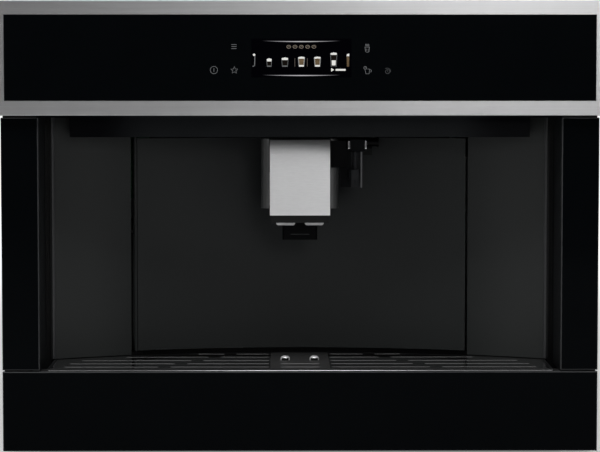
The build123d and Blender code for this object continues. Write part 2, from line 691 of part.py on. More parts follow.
with BuildPart() as spout_body:
    block((-body_x, body_x), (body_front, carriage_y[0]),
          (spout_body_bottom, spout_cover_top - spout_cover_sheet))
    body_edge = spout_body.edges().filter_by(Axis.X).group_by(Axis.Z)[-1].sort_by(Axis.Y)[0]
    fillet(body_edge, spout_top_radius - spout_cover_sheet)
    block((-body_x, body_x), carriage_y, (spout_body_bottom, carriage_top))
    block((-shoe_x, shoe_x), (carriage_y[1] - spout_shoe[0], carriage_y[1]),
          (carriage_top - spout_shoe[1], carriage_top))
    block((-feed_radius - 1, feed_radius + 1), (feed_y, carriage_y[1]),
          (feed_z - 4 * feed_radius - 1, carriage_top), Mode.SUBTRACT)
    rod((0, feed_y, spout_body_bottom + 6), (0, 0, 1), carriage_top, feed_radius + running_gap,
        Mode.SUBTRACT)
save(spout_body, "spout_body")

nozzle_y = face + nozzle_depth
nozzle_z = spout_body_bottom - nozzle_block_size[2]
with BuildPart() as nozzle_block:
    with Locations((0, nozzle_y, nozzle_z)):
        Box(*nozzle_block_size, align=(Align.CENTER, Align.CENTER, Align.MIN))
    fillet(nozzle_block.edges().filter_by(Axis.Z), 3)
    with Locations((0, nozzle_y, spout_body_bottom)):
        with GridLocations(nozzle_pitch, 1, 2, 1):
            Hole(nozzle_bore)
save(nozzle_block, "nozzle_block")

strip_y = body_front + 1.5
with BuildPart() as spout_outlets:
    for side in (-1, 1):
        with Locations((side * outlet_strip_offset, strip_y, spout_body_bottom)):
            Box(*outlet_strip, align=(Align.CENTER, Align.MIN, Align.MAX))
    chamfer(spout_outlets.edges().filter_by(Axis.Y).group_by(Axis.Z)[0], 1.5)
save(spout_outlets, "spout_outlets")

# ---------------------------------------------------------------- steam connector and hot-water spout
connector_x = (steam_x - 17, steam_x + 17)
connector_z = (steam_z - 12.5, steam_z + 5.5)
connector_front = face + 127.5
side_block_x = (spout_guide_half + 0.7, spout_guide_half + 7.5)
side_block_z = (steam_z - 22.5, steam_z + 4.5)
side_block_front = face + 51.5
side_knob = (4.4, connector_x[1] + 7)
with BuildPart() as steam_connector:
    curve_plate(connector_x[1], connector_front, niche_radius, connector_z)
    block((-connector_x[1], connector_x[0]), (connector_front - 5, 0), connector_z, Mode.SUBTRACT)
    curve_plate(side_block_x[1], spout_guide_front - running_gap, niche_radius, side_block_z)
    block((-side_block_x[1], side_block_x[0]), (side_block_front, 0), side_block_z, Mode.SUBTRACT)
    block((cover_x + 1.2, side_block_x[1]), (side_block_front, spout_guide_front - running_gap),
          side_block_z)
    rod((steam_x, connector_front + 2, steam_z), (0, -1, 0), connector_front + 2 - steam_nozzle_front,
        steam_nozzle_radius)
    rod((connector_x[1] - 8, connector_front, steam_z + 1), (1, 0, 0), side_knob[1] - connector_x[1] + 8,
        side_knob[0])
    rod((side_knob[1] - 2, connector_front, steam_z + 1), (1, 0, 0), 2, side_knob[0] + 0.8)
save(steam_connector, "steam_connector")

head_x = (steam_x - head_size[0] / 2, steam_x + head_size[0] / 2)
head_y = (head_back - head_size[1], head_back)
head_z = (steam_z - head_size[2] / 2, steam_z + head_size[2] / 2)
apron_x = (side_block_x[0] + 1.2, steam_x + 5.2)
apron_z = steam_z - 43.5
apron_y = (face + 71.5, face + 74.5)
tip_x = (steam_x - 9.3, steam_x + 1)
tip_z = (steam_z - 35.7, steam_z - 25.5)
tip_front = face + 61.5
button_y = (head_y[0] + 8, head_y[0] + 8 + button_size[1])
button_z = (steam_z - button_size[2] / 2, steam_z + button_size[2] / 2)
button_stand = 1.9         # how far a button stands out of the head
pocket_floor = button_size[0] - button_stand + button_travel + 0.5
with BuildPart() as hot_water_spout:
    block(head_x, head_y, head_z)
    fillet(hot_water_spout.edges().filter_by(Axis.X), 1.5)
    block((side_block_x[1] + 0.5, apron_x[1]), apron_y, (side_block_z[0] - 0.5, head_z[0] + 2))
    block(apron_x, apron_y, (apron_z, side_block_z[0] - 0.5))
    block((apron_x[1] - 2, apron_x[1]), (apron_y[0] - 8, apron_y[0]), (apron_z, head_z[0] + 2))
    rod((sum(tip_x) / 2 + 1.5, (tip_front + apron_y[0]) / 2, tip_z[0]), (0, 0, 1),
        head_z[0] - tip_z[0] + 2, 1.9)
    block(tip_x, (tip_front, apron_y[0]), tip_z)
    rod((steam_x, head_back, steam_z), (0, -1, 0), head_back - steam_nozzle_front + 2,
        steam_nozzle_radius + running_gap, Mode.SUBTRACT)
    for side in (-1, 1):
        edge = steam_x + side * head_size[0] / 2
        pocket = sorted((edge, edge - side * pocket_floor))
        block(pocket, (button_y[0] - running_gap, button_y[1] + running_gap),
              (button_z[0] - running_gap, button_z[1] + running_gap), Mode.SUBTRACT)
save(hot_water_spout, "hot_water_spout")


def release_button(side):
    """A push button in the side of the hot-water spout's head."""
    outer = steam_x + side * (head_size[0] / 2 + button_stand)
    with BuildPart() as button:
        block(sorted((outer, outer - side * button_size[0])), button_y, button_z)
        fillet(button.edges().filter_by(Axis.X), 1.0)
    return button


release_button_left = release_button(-1)
save(release_button_left, "release_button_left")
release_button_right = release_button(1)
save(release_button_right, "release_button_right")

# ---------------------------------------------------------------- component deck
deck_top = deck_bottom + plate
partition_x = (tank_x[1] + 14, tank_x[1] + 14 + plate)
deck_front = brew_y[0]
hose_radius = 3.0
pump_x = (partition_x[1] + 12, partition_x[1] + 12 + pump_width)
pump_y = (back - pump_gaps[0], back - pump_gaps[1])
suction_y = pump_y[0] + 17
suction_z = floor_top + 24
with BuildPart() as component_deck:
    block(partition_x, (deck_front - 20, back_inner), (floor_top, deck_top))
    block((partition_x[1], body_inner), (deck_front, back_inner), (deck_bottom, deck_top))
    rod((partition_x[0], suction_y, suction_z), (1, 0, 0), plate, hose_radius, Mode.SUBTRACT)
    block((chute_x[0] + chute_wall, chute_x[1] - chute_wall),
          (chute_y[0] + chute_wall, chute_y[1] - chute_wall), (deck_bottom, deck_top), Mode.SUBTRACT)
save(component_deck, "component_deck")

# ---------------------------------------------------------------- water tank
tank_wall = 2.5
tank_face = 6.0                # the outer wall, which holds the grip
valve_y = suction_y - 7
valve_radius = 4.0
tank_mid = (sum(tank_x) / 2, sum(tank_y) / 2)
grip_y = (tank_mid[1] - 30, tank_mid[1] + 30)
grip_z = (tank_z[1] - 55, tank_z[1] - 30)
grip_deep = 13.0
with BuildPart() as water_tank:
    block(tank_x, tank_y, tank_z)
    fillet(water_tank.edges().filter_by(Axis.Z), 8)
    block((tank_x[0] + tank_face, tank_x[1] - tank_wall), (tank_y[0] + tank_wall, tank_y[1] - tank_wall),
          (tank_z[0] + tank_wall, tank_z[1]), Mode.SUBTRACT)
    block((tank_x[0] + tank_wall, tank_x[0] + grip_deep + tank_wall),
          (grip_y[0] - tank_wall, grip_y[1] + tank_wall), (grip_z[0] - tank_wall, grip_z[1] + tank_wall))
    block((tank_x[0], tank_x[0] + grip_deep), grip_y, grip_z, Mode.SUBTRACT)
    rod((tank_x[1], valve_y, suction_z), (1, 0, 0), 8, valve_radius)
    rod((tank_x[1] - tank_wall, valve_y, suction_z), (1, 0, 0), 8 + tank_wall, valve_radius / 2,
        Mode.SUBTRACT)
save(water_tank, "water_tank")

lid_x = (tank_x[0] + tank_face - 1.5, tank_x[1])
lid_plug = tank_wall + running_gap
with BuildPart() as tank_lid:
    block(lid_x, tank_y, (tank_z[1], tank_z[1] + 3))
    fillet(tank_lid.edges().filter_by(Axis.Z), 8)
    block((tank_x[0] + tank_face + running_gap, tank_x[1] - lid_plug),
          (tank_y[0] + lid_plug, tank_y[1] - lid_plug), (tank_z[1] - 3, tank_z[1]))
    rod((*tank_mid, tank_z[1]), (0, 0, 1), 5, 12)
save(tank_lid, "tank_lid")

dock_top = tank_z[0] - running_gap
dock_post_x = (tank_x[1] + 1, partition_x[0])
with BuildPart() as tank_dock:
    block((tank_x[0] + 3, partition_x[0]), tank_y, (floor_top, floor_top + plate))
    for y in (tank_y[0] + 4, tank_mid[1] - 3, tank_y[1] - 10):
        block((tank_x[0] + 3, tank_x[1]), (y, y + 6), (floor_top + plate, dock_top))
    block(dock_post_x, (valve_y - 12, valve_y + 12), (floor_top + plate, suction_z + 14))
    rod((dock_post_x[0], valve_y, suction_z), (1, 0, 0), 9, valve_radius + running_gap, Mode.SUBTRACT)
save(tank_dock, "tank_dock")

# ---------------------------------------------------------------- brewing unit
brew_wall = 8.0
chamber_at = (brew_x[0] + 70, sum(brew_y) / 2)
chamber_radius = 26.0
chamber_wall = 4.0
chamber_top = floor_top + 86
piston_play = 0.06
piston_z = (floor_top + 64, floor_top + 92)
piston_shaft = 8.0
motor_bottom = deck_bottom - 54
cake_port = (floor_top + 36, floor_top + 96)
with BuildPart() as brew_frame:
    block(brew_x, brew_y, (floor_top, deck_bottom))
    block((brew_x[0] + brew_wall, brew_x[1]), (brew_y[0] + brew_wall, brew_y[1] - brew_wall),
          (floor_top + brew_wall, deck_bottom - brew_wall), Mode.SUBTRACT)
    rod((*chamber_at, floor_top + brew_wall), (0, 0, 1), chamber_top - floor_top - brew_wall,
        chamber_radius + chamber_wall)
    rod((*chamber_at, floor_top + brew_wall), (0, 0, 1), motor_bottom - floor_top - brew_wall,
        chamber_radius, Mode.SUBTRACT)
    block((brew_x[0], brew_x[0] + brew_wall), (brew_y[0] + 30, brew_y[1] - 30), cake_port, Mode.SUBTRACT)
    block((brew_x[0] + brew_wall + 1.5, chute_x[1] - chute_wall),
          (chute_y[0] + chute_wall, chute_y[1] - chute_wall), (deck_bottom - brew_wall, deck_bottom),
          Mode.SUBTRACT)
    rod((*chamber_at, deck_bottom - brew_wall), (0, 0, 1), brew_wall, piston_shaft + 2, Mode.SUBTRACT)
save(brew_frame, "brew_frame")

with BuildPart() as brew_motor:
    block((chamber_at[0] - 28, brew_x[1] - 6), (brew_y[0] + brew_wall, brew_y[1] - brew_wall),
          (motor_bottom, deck_bottom - brew_wall))
    rod((*chamber_at, motor_bottom), (0, 0, 1), deck_bottom - motor_bottom, piston_shaft + piston_play,
        Mode.SUBTRACT)
save(brew_motor, "brew_motor")

with BuildPart() as brew_piston:
    rod((*chamber_at, piston_z[0]), (0, 0, 1), piston_z[1] - piston_z[0], chamber_radius - piston_play)
    rod((*chamber_at, piston_z[1]), (0, 0, 1), motor_bottom + 30 - piston_z[1], piston_shaft)
save(brew_piston, "brew_piston")

with BuildPart() as infuser_door:
    door_y = (infuser_opening[0][0] + 1, infuser_axis[1] + 1)
    door_height = (infuser_opening[1][0] + 1, infuser_opening[1][1] - 1)
    block((body_half - 1.8, body_half), door_y, door_height)
    block((infuser_axis[0], body_half - 1.8), (infuser_axis[1] - 2, infuser_axis[1]),
          (door_height[0] + 3, door_height[1] - 3))
    rod((*infuser_axis, door_height[0] + 3), (0, 0, 1), door_height[1] - door_height[0] - 6, 2.0)
    rod((*infuser_axis, floor_top + 2), (0, 0, 1), deck_bottom - floor_top - 3, door_pin_radius)
    block((body_half - 5, body_half - 1.8), (door_y[0] + 12, door_y[0] + 14),
          (sum(door_height) / 2 - 15, sum(door_height) / 2 + 15))
save(infuser_door, "infuser_door")

container_x = (-60.0, brew_x[0] - 25)
container_y = (niche_rear + 19.5, brew_y[1])
container_top = floor_top + 96
with BuildPart() as grounds_container:
    block(container_x, container_y, (floor_top, container_top))
    fillet(grounds_container.edges().filter_by(Axis.Z), 6)
    block((container_x[0] + plate, container_x[1] - plate),
          (container_y[0] + plate, container_y[1] - plate), (floor_top + plate, container_top),
          Mode.SUBTRACT)
save(grounds_container, "grounds_container")

# ---------------------------------------------------------------- beans, grinder and ground coffee
grinder_radius = 45.0
grinder_top = deck_top + 56
burr_radius = 30.0
burr_shaft = 6.0
burr_pocket = 32.0
burr_disc = 10.0
burr_cone = 14.0
neck_radius = 24.0
neck_length = 22.0
hopper_floor = grinder_top + neck_length
with BuildPart() as grinder_housing:
    rod((*grinder_at, deck_top), (0, 0, 1), grinder_top - deck_top, grinder_radius)
    rod((*grinder_at, grinder_top), (0, 0, -1), burr_pocket, burr_radius + 2, Mode.SUBTRACT)
    block((knob_at[0] - 8, grinder_at[0] - 15), (knob_at[1] - 8, knob_at[1] + 8),
          (grinder_top - 12, grinder_top))
    rod((*knob_at, grinder_top), (0, 0, -1), 12, knob_shaft_radius + pin_play, Mode.SUBTRACT)
    rod((*grinder_at, grinder_top), (0, 0, -1), burr_pocket + 18,
        burr_shaft + pin_play, Mode.SUBTRACT)
save(grinder_housing, "grinder_housing")

burr_bottom = grinder_top - burr_pocket + running_gap
with BuildPart() as grinder_burr:
    rod((*grinder_at, burr_bottom), (0, 0, 1), burr_disc, burr_radius)
    with Locations((*grinder_at, burr_bottom + burr_disc)):
        Cone(burr_radius - 3, burr_radius - 16, burr_cone, align=(Align.CENTER, Align.CENTER, Align.MIN))
    rod((*grinder_at, burr_bottom), (0, 0, -1), 16, burr_shaft)
    with Locations((*grinder_at, burr_bottom + burr_disc)):
        with PolarLocations(burr_radius - 1.5, 12):
            Box(3, 3, 4, align=(Align.CENTER, Align.CENTER, Align.MAX), mode=Mode.SUBTRACT)
save(grinder_burr, "grinder_burr")

with BuildPart() as bean_hopper:
    block(hopper_x, hopper_y, (hopper_floor, cover_bottom))
    rod((*grinder_at, grinder_top), (0, 0, 1), neck_length, neck_radius + hopper_wall)
    block((hopper_x[0] + hopper_wall, hopper_x[1] - hopper_wall),
          (hopper_y[0] + hopper_wall, hopper_y[1] - hopper_wall),
          (hopper_floor + hopper_wall, cover_bottom), Mode.SUBTRACT)
    rod((*grinder_at, grinder_top), (0, 0, 1), neck_length + hopper_wall, neck_radius, Mode.SUBTRACT)
save(bean_hopper, "bean_hopper")

with BuildPart() as coffee_funnel:
    block(chute_x, chute_y, (deck_top, cover_bottom))
    block((chute_x[0] + chute_wall, chute_x[1] - chute_wall),
          (chute_y[0] + chute_wall, chute_y[1] - chute_wall), (deck_top, cover_bottom), Mode.SUBTRACT)
save(coffee_funnel, "coffee_funnel")


def hinged_lid(x, y, barrel_x, axis_y):
    """A flat lid with a barrel and two pins along its rear edge."""
    with BuildPart() as lid:
        block((x[0] - lid_margin, x[1] + lid_margin), (y[0] - lid_margin, y[1] + lid_margin / 2),
              (body_top + running_gap, body_top + running_gap + lid_thick))
        fillet(lid.edges().filter_by(Axis.Z), 3)
        block(barrel_x, (y[1], axis_y), (lid_axis_z - 1, lid_axis_z + 0.9))
        rod((barrel_x[0], axis_y, lid_axis_z), (1, 0, 0), barrel_x[1] - barrel_x[0], lid_barrel_radius)
        pin_length = barrel_x[1] - barrel_x[0] + 2 * (running_gap + ear) - 0.6
        rod((barrel_x[0] - running_gap - ear + 0.3, axis_y, lid_axis_z), (1, 0, 0), pin_length,
            door_pin_radius)
        block(((x[0] + x[1]) / 2 - 10, (x[0] + x[1]) / 2 + 10), (y[0] - lid_margin - 2, y[0] - lid_margin),
              (body_top + running_gap + 1, body_top + running_gap + lid_thick))
    return lid


bean_lid = hinged_lid(hopper_x, hopper_y, hopper_barrel_x, hopper_axis_y)
save(bean_lid, "bean_lid")
funnel_lid = hinged_lid(chute_x, chute_y, chute_barrel_x, chute_axis_y)
save(funnel_lid, "funnel_lid")

knob_radius = 15.0
knob_height = 11.0
with BuildPart() as grind_knob:
    rod((*knob_at, body_top + running_gap), (0, 0, 1), knob_height, knob_radius)
    fillet(grind_knob.faces().sort_by(Axis.Z)[-1].edges(), 1.5)
    rod((*knob_at, grinder_top - 10), (0, 0, 1), body_top + running_gap - grinder_top + 10,
        knob_shaft_radius)
    with Locations((*knob_at, body_top + running_gap + knob_height)):
        with PolarLocations(knob_radius, 16):
            Cylinder(1.2, 8, align=(Align.CENTER, Align.CENTER, Align.MAX), mode=Mode.SUBTRACT)
save(grind_knob, "grind_knob")

# ---------------------------------------------------------------- heating, pump, power
heater_x = (-130.0, -60.0)
heater_y = (back - 120.5, back - 30.5)
heater_z = (deck_bottom - 92, deck_bottom - 30)
with BuildPart() as thermoblock:
    block(heater_x, heater_y, heater_z)
    fillet(thermoblock.edges(), 4)
    for x in (heater_x[0] + 8, heater_x[1] - 12):
        block((x, x + 4), (heater_y[0] + 20, heater_y[1] - 20), (heater_z[1], deck_bottom))
save(thermoblock, "thermoblock")

boiler_at = (20.0, back - 75.5)
boiler_radius = 32.0
boiler_height = 88.0
boiler_neck = 8.0
boiler_bottom = deck_bottom - boiler_neck - boiler_height
with BuildPart() as steam_boiler:
    rod((*boiler_at, boiler_bottom), (0, 0, 1), boiler_height, boiler_radius)
    fillet(steam_boiler.faces().sort_by(Axis.Z)[0].edges(), 10)
    rod((*boiler_at, deck_bottom - boiler_neck), (0, 0, 1), boiler_neck, boiler_radius - 12)
    rod((*boiler_at, boiler_bottom - 6), (0, 0, 1), 8, 6)
save(steam_boiler, "steam_boiler")

pump_top = floor_top + 58
pump_mid = (pump_x[0] + pump_x[1]) / 2
pump_port = (pump_mid, pump_y[0] + 36, pump_top + 10)
with BuildPart() as pump:
    block(pump_x, (pump_y[0] + 10, pump_y[0] + 62), (floor_top, pump_top))
    rod((pump_mid, pump_y[0], pump_top - 28), (0, 1, 0), pump_y[1] - pump_y[0], 14)
    rod((*pump_port[:2], pump_top), (0, 0, 1), pump_port[2] - pump_top, 5)
save(pump, "pump")

board_x = (-body_half + 16, -body_half + 113)
board_z = (body_top - 200, body_top - 20)
board_front = back_inner - 14
board_face = board_front - display_board[2]
with BuildPart() as power_board:
    block(board_x, (board_face, board_front), board_z)
    for x in (board_x[0] + 8, board_x[1] - 8):
        for z in (board_z[0] + 8, board_z[1] - 8):
            rod((x, board_front, z), (0, 1, 0), back_inner - board_front, 3)
    for z in (board_z[0] + 25, board_z[0] + 70, board_z[0] + 120):
        block((board_x[0] + 15, board_x[0] + 45), (board_face - 22, board_face), (z, z + 30))
        block((board_x[1] - 40, board_x[1] - 20), (board_face - 14, board_face), (z, z + 20))
save(power_board, "power_board")

brew_line = (heater_y[0] + 7, heater_z[0] + 30)
with BuildPart() as water_hoses:
    rod((partition_x[0], suction_y, suction_z), (1, 0, 0), pump_x[0] - partition_x[0], hose_radius)
    rod(pump_port, (0, 0, 1), heater_z[0] - pump_port[2], hose_radius)
    rod((heater_x[1], *brew_line), (1, 0, 0), brew_x[0] - heater_x[1], hose_radius)
save(water_hoses, "water_hoses")

socket_at = (inlet_x[0] + 22, sum(inlet_z) / 2)
socket_deep = 22.0
rocker_at = (inlet_x[1] - 16, sum(inlet_z) / 2)
rocker_size = (13.0, 9.0, 20.0)
rocker_tilt = 8.0
with BuildPart() as mains_inlet:
    block(inlet_x, (body_back, back), inlet_z)
    block((inlet_x[0] + 5, inlet_x[1] - 5), (body_back - 28, body_back), (inlet_z[0] + 4, inlet_z[1] - 4))
    block((socket_at[0] - 12, socket_at[0] + 12), (back - socket_deep, back),
          (socket_at[1] - 8, socket_at[1] + 8), Mode.SUBTRACT)
    block((rocker_at[0] - 7, rocker_at[0] + 7), (back - 18, back), (rocker_at[1] - 12, rocker_at[1] + 12),
          Mode.SUBTRACT)
    for x, z in ((-7, -2), (7, -2), (0, 3)):
        rod((socket_at[0] + x, back - socket_deep, socket_at[1] + z), (0, 1, 0), 14, 1.4)
    rod((rocker_at[0] - 7 - 3, back - 9, rocker_at[1]), (1, 0, 0), 20, bore_radius, Mode.SUBTRACT)
save(mains_inlet, "mains_inlet")

with BuildPart() as power_switch:
    with Locations(Location((rocker_at[0], back - 9, rocker_at[1]), (rocker_tilt, 0, 0))):
        Box(*rocker_size, align=(Align.CENTER, Align.CENTER, Align.CENTER))
    rod((rocker_at[0] - 8.5, back - 9, rocker_at[1]), (1, 0, 0), 17, door_pin_radius)
save(power_switch, "power_switch")
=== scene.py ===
"""Looks of a built-in coffee machine: finishes, display, fittings and studio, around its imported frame."""
import math

import bmesh
import bpy
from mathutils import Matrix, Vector


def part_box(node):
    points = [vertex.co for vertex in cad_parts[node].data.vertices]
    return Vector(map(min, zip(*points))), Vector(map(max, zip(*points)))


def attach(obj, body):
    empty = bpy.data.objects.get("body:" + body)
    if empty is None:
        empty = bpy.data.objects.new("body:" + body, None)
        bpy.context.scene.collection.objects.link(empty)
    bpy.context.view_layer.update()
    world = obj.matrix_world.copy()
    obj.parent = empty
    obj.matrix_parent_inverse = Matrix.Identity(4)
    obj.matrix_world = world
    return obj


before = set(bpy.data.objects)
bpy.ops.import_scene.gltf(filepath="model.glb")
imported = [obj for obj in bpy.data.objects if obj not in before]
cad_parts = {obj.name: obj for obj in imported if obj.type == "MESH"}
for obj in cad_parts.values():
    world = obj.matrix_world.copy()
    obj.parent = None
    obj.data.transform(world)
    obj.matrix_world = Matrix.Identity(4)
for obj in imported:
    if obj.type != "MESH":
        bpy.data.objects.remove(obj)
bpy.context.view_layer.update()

# ---------------------------------------------------------------- camera
# A long lens stands almost straight in front, a little above the cup niche, and looks slightly down. Its
# place is in metres, its two turns in degrees, and the lens in millimetres.
camera_place = (-0.0200, -2.5405, 0.392)
camera_pitch = 3.886
camera_yaw = -0.476
camera_lens = 143.1

camera = bpy.data.objects.new("camera", bpy.data.cameras.new("camera"))
camera.data.lens = camera_lens
camera.data.sensor_width = 36.0
camera.location = camera_place
camera.rotation_euler = (math.radians(90 - camera_pitch), 0, math.radians(camera_yaw))
bpy.context.scene.collection.objects.link(camera)
bpy.context.scene.camera = camera

# ---------------------------------------------------------------- floor and studio
# A pale matt floor under the machine. It and the surroundings are white behind the machine, and a soft
# box on the right, a weaker one on the left and one overhead light the front. The floor gets whiter with
# distance, from floor_near to floor_far.
floor_size = 8.0
floor_tone, floor_pale = (0.86, 0.86, 0.86, 1), (0.9, 0.9, 0.9, 1)
floor_near, floor_far = 0.7, 2.6


class Wire:
    """A socket's output. Python's operators add the node that works them out."""

    def __init__(self, tree, socket):
        self.tree, self.socket = tree, socket

    def worked(self, operation, first, second):
        vector = any(isinstance(v, Wire) and v.socket.type == "VECTOR" for v in (first, second))
        kind = "ShaderNodeVectorMath" if vector else "ShaderNodeMath"
        return self.tree.node(kind, {"operation": operation}, {0: first, 1: second})

    def __add__(self, other):
        return self.worked("ADD", self, other)

    def __sub__(self, other):
        return self.worked("SUBTRACT", self, other)

    def __rsub__(self, other):
        return self.worked("SUBTRACT", other, self)

    def __mul__(self, other):
        return self.worked("MULTIPLY", self, other)

    def __pow__(self, other):
        return self.worked("POWER", self, other)

    def __gt__(self, other):
        return self.worked("GREATER_THAN", self, other)

    def __lt__(self, other):
        return self.worked("LESS_THAN", self, other)


class Tree:
    """A node tree. node() adds any node: first its settings, then the values or wires of its sockets."""

    def __init__(self, node_tree):
        self.nodes, self.links = node_tree.nodes, node_tree.links

    def feed(self, socket, value):
        if isinstance(value, Wire):
            self.links.new(value.socket, socket)
        else:
            socket.default_value = value

    def node(self, kind, settings=None, sockets=None, output=0):
        made = self.nodes.new(kind)
        for key, value in (settings or {}).items():
            setattr(made, key, value)
        for key, value in (sockets or {}).items():
            self.feed(made.inputs[key], value)
        return Wire(self, made.outputs[output])

    def mix(self, factor, first, second):
        return self.node("ShaderNodeMix", {"data_type": "RGBA"}, {0: factor, 6: first, 7: second}, output=2)

    def light_path(self, output):
        """What kind of ray looks: 0 from the eye, 3 off a glossy face, 6 through glass."""
        return self.node("ShaderNodeLightPath", output=output)

    def most(self, first, second):
        return self.node("ShaderNodeMath", {"operation": "MAXIMUM"}, {0: first, 1: second})

    def unsigned(self, value):
        return self.node("ShaderNodeMath", {"operation": "ABSOLUTE"}, {0: value})

    def rise(self, value, start, end):
        """Goes smoothly from 0 where the value is start to 1 where it is end."""
        return self.node("ShaderNodeMapRange", {"interpolation_type": "SMOOTHSTEP"},
                         {0: value, 1: start, 2: end})


class Finish(Tree):
    """A material. Its fixed values are set on the shader's own sockets, and look() wires what varies."""

    def __init__(self, name, **fixed):
        self.material = bpy.data.materials.new(name)
        self.material.use_nodes = True
        super().__init__(self.material.node_tree)
        self.shader = self.nodes["Principled BSDF"]
        for key, value in fixed.items():
            self.shader.inputs[key.replace("_", " ")].default_value = value

    def look(self, **wires):
        for key, value in wires.items():
            self.feed(self.shader.inputs[key.replace("_", " ")], value)
        return self

    def place(self, stretch=(1, 1, 1)):
        """Where a point of the surface is on the machine, in metres, times a stretch for each axis."""
        return self.node("ShaderNodeTexCoord", output=3) * stretch

    def along(self, axis):
        return self.node("ShaderNodeSeparateXYZ", sockets={0: self.place()}, output="XYZ".index(axis))

    def facing(self, axis):
        """How far a surface looks along one of the machine's axes, 0 to 1 either way."""
        way = self.node("ShaderNodeSeparateXYZ", sockets={0: self.node("ShaderNodeTexCoord", output=1)},
                        output="XYZ".index(axis))
        return self.unsigned(way)

    def aside(self):
        """Distance from the machine's middle plane, in metres."""
        return self.unsigned(self.along("X"))

    def away(self, centre, stretch=(1, 1, 1)):
        """Distance from a centre, in metres."""
        return self.node("ShaderNodeVectorMath", {"operation": "LENGTH"}, {0: self.place(stretch) - centre},
                         output=1)

    def noise(self, stretch, detail=3.0, rough=0.55):
        """Grain between 0 and 1, with a stretch in grains a metre for each axis."""
        return self.node("ShaderNodeTexNoise", sockets={"Vector": self.place(stretch), "Scale": 1.0,
                                                        "Detail": detail, "Roughness": rough})

    def cells(self, stretch, output=0):
        """Grain in closed cells: output 0 is the distance in a cell, output 1 its own colour."""
        return self.node("ShaderNodeTexVoronoi", sockets={"Vector": self.place(stretch), "Scale": 1.0},
                         output=output)

    def bump(self, height, distance, strength=1.0):
        return self.node("ShaderNodeBump", sockets={"Height": height, "Distance": distance,
                                                    "Strength": strength})

    def between(self, factor, low, high):
        """A number from low, where the factor is 0, to high, where it is 1."""
        return factor * (high - low) + low

    def grained(self, stretch, tones, roughness, depth=None, detail=3.0):
        """The plainest look: grain between two tones and two roughnesses that stands up by depth metres."""
        grain = self.noise(stretch, detail)
        self.look(Base_Color=self.mix(grain, *tones), Roughness=self.between(grain, *roughness))
        return self.look(Normal=self.bump(grain, depth)) if depth else self


def mesh_piece(name, build, finish, body, looks=None):
    """A piece whose mesh build(bm) makes in place. It rides on a body and names its finish's slot. A flat
    print says which way it looks."""
    bm = bmesh.new()
    build(bm)
    if looks:
        bm.normal_update()
        bmesh.ops.reverse_faces(bm, faces=[face for face in bm.faces if face.normal.dot(Vector(looks)) < 0])
    else:
        bmesh.ops.recalc_face_normals(bm, faces=bm.faces)
    made = bpy.data.objects.new(name, bpy.data.meshes.new(name))
    bm.to_mesh(made.data)
    bm.free()
    made.data.materials.append(finish.material)
    bpy.context.scene.collection.objects.link(made)
    if body:
        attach(made, body)
    return made


def floor_sheet(bm):
    bmesh.ops.create_grid(bm, x_segments=8, y_segments=8, size=floor_size / 2)


floor_paint = Finish("studio_floor_paint", Roughness=0.9, Emission_Strength=1.0)
far = floor_paint.rise(floor_paint.away((0, 0, 0)), floor_near, floor_far)
seen_white = floor_paint.light_path(0) * floor_paint.between(far, 0.25, 1.0)
floor_paint.look(Base_Color=floor_paint.mix(floor_paint.noise((3, 3, 3)), floor_tone, floor_pale),
                 Emission_Color=seen_white)
floor = mesh_piece("studio_floor", floor_sheet, floor_paint, None, looks=(0, 0, 1))
floor.location.z = -0.0005

world = bpy.data.worlds.new("studio")
world.use_nodes = True
bpy.context.scene.world = world
bpy.context.scene.view_settings.view_transform = "Standard"
room = Tree(world.node_tree)
room_tone = (0.095, 0.095, 0.097, 1)
wall_starts, wall_white = 0.05, 0.45
heading = room.node("ShaderNodeSeparateXYZ", sockets={0: room.node("ShaderNodeTexCoord", output=0)}, output=1)
behind = room.node("ShaderNodeMapRange", sockets={0: heading, 1: wall_starts, 2: wall_white})
mirrored = room.most(room.light_path(3), room.light_path(6)) * behind
white_seen = room.most(room.light_path(0), mirrored)
room.feed(world.node_tree.nodes["Background"].inputs["Color"], room.mix(white_seen, room_tone, (1, 1, 1, 1)))


def soft_box(name, place, size, watts, aim=(0, 0, 0.22)):
    """A rectangular lamp that looks at a point of the machine."""
    lamp = bpy.data.objects.new(name, bpy.data.lights.new(name, "AREA"))
    lamp.data.shape, lamp.data.size, lamp.data.size_y = "RECTANGLE", *size
    lamp.data.energy = watts
    lamp.location = place
    lamp.rotation_euler = (Vector(aim) - Vector(place)).to_track_quat("-Z", "Y").to_euler()
    bpy.context.scene.collection.objects.link(lamp)


soft_box("lamp_right", (0.45, -2.6, 0.82), (0.55, 0.6), 5.1)
soft_box("lamp_left", (-2.4, -1.7, 1.2), (1.2, 1.4), 6.5)
soft_box("lamp_top", (0.0, -1.1, 2.1), (2.2, 0.9), 33)

# ---------------------------------------------------------------- base frame, rails and screws
# A folded sheet-steel frame that is screwed to the cabinet's shelf, with zinc-plated pull-out rails.
# The sheet has the flaky pattern that hot zinc leaves, and the rails are brighter, drawn lengthwise.
zinc_light = (0.52, 0.53, 0.54, 1)
zinc_dark = (0.36, 0.37, 0.385, 1)


def dress(finish, *names):
    """Gives CAD nodes a finish."""
    for name in names:
        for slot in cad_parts[name].material_slots:
            slot.material = finish.material


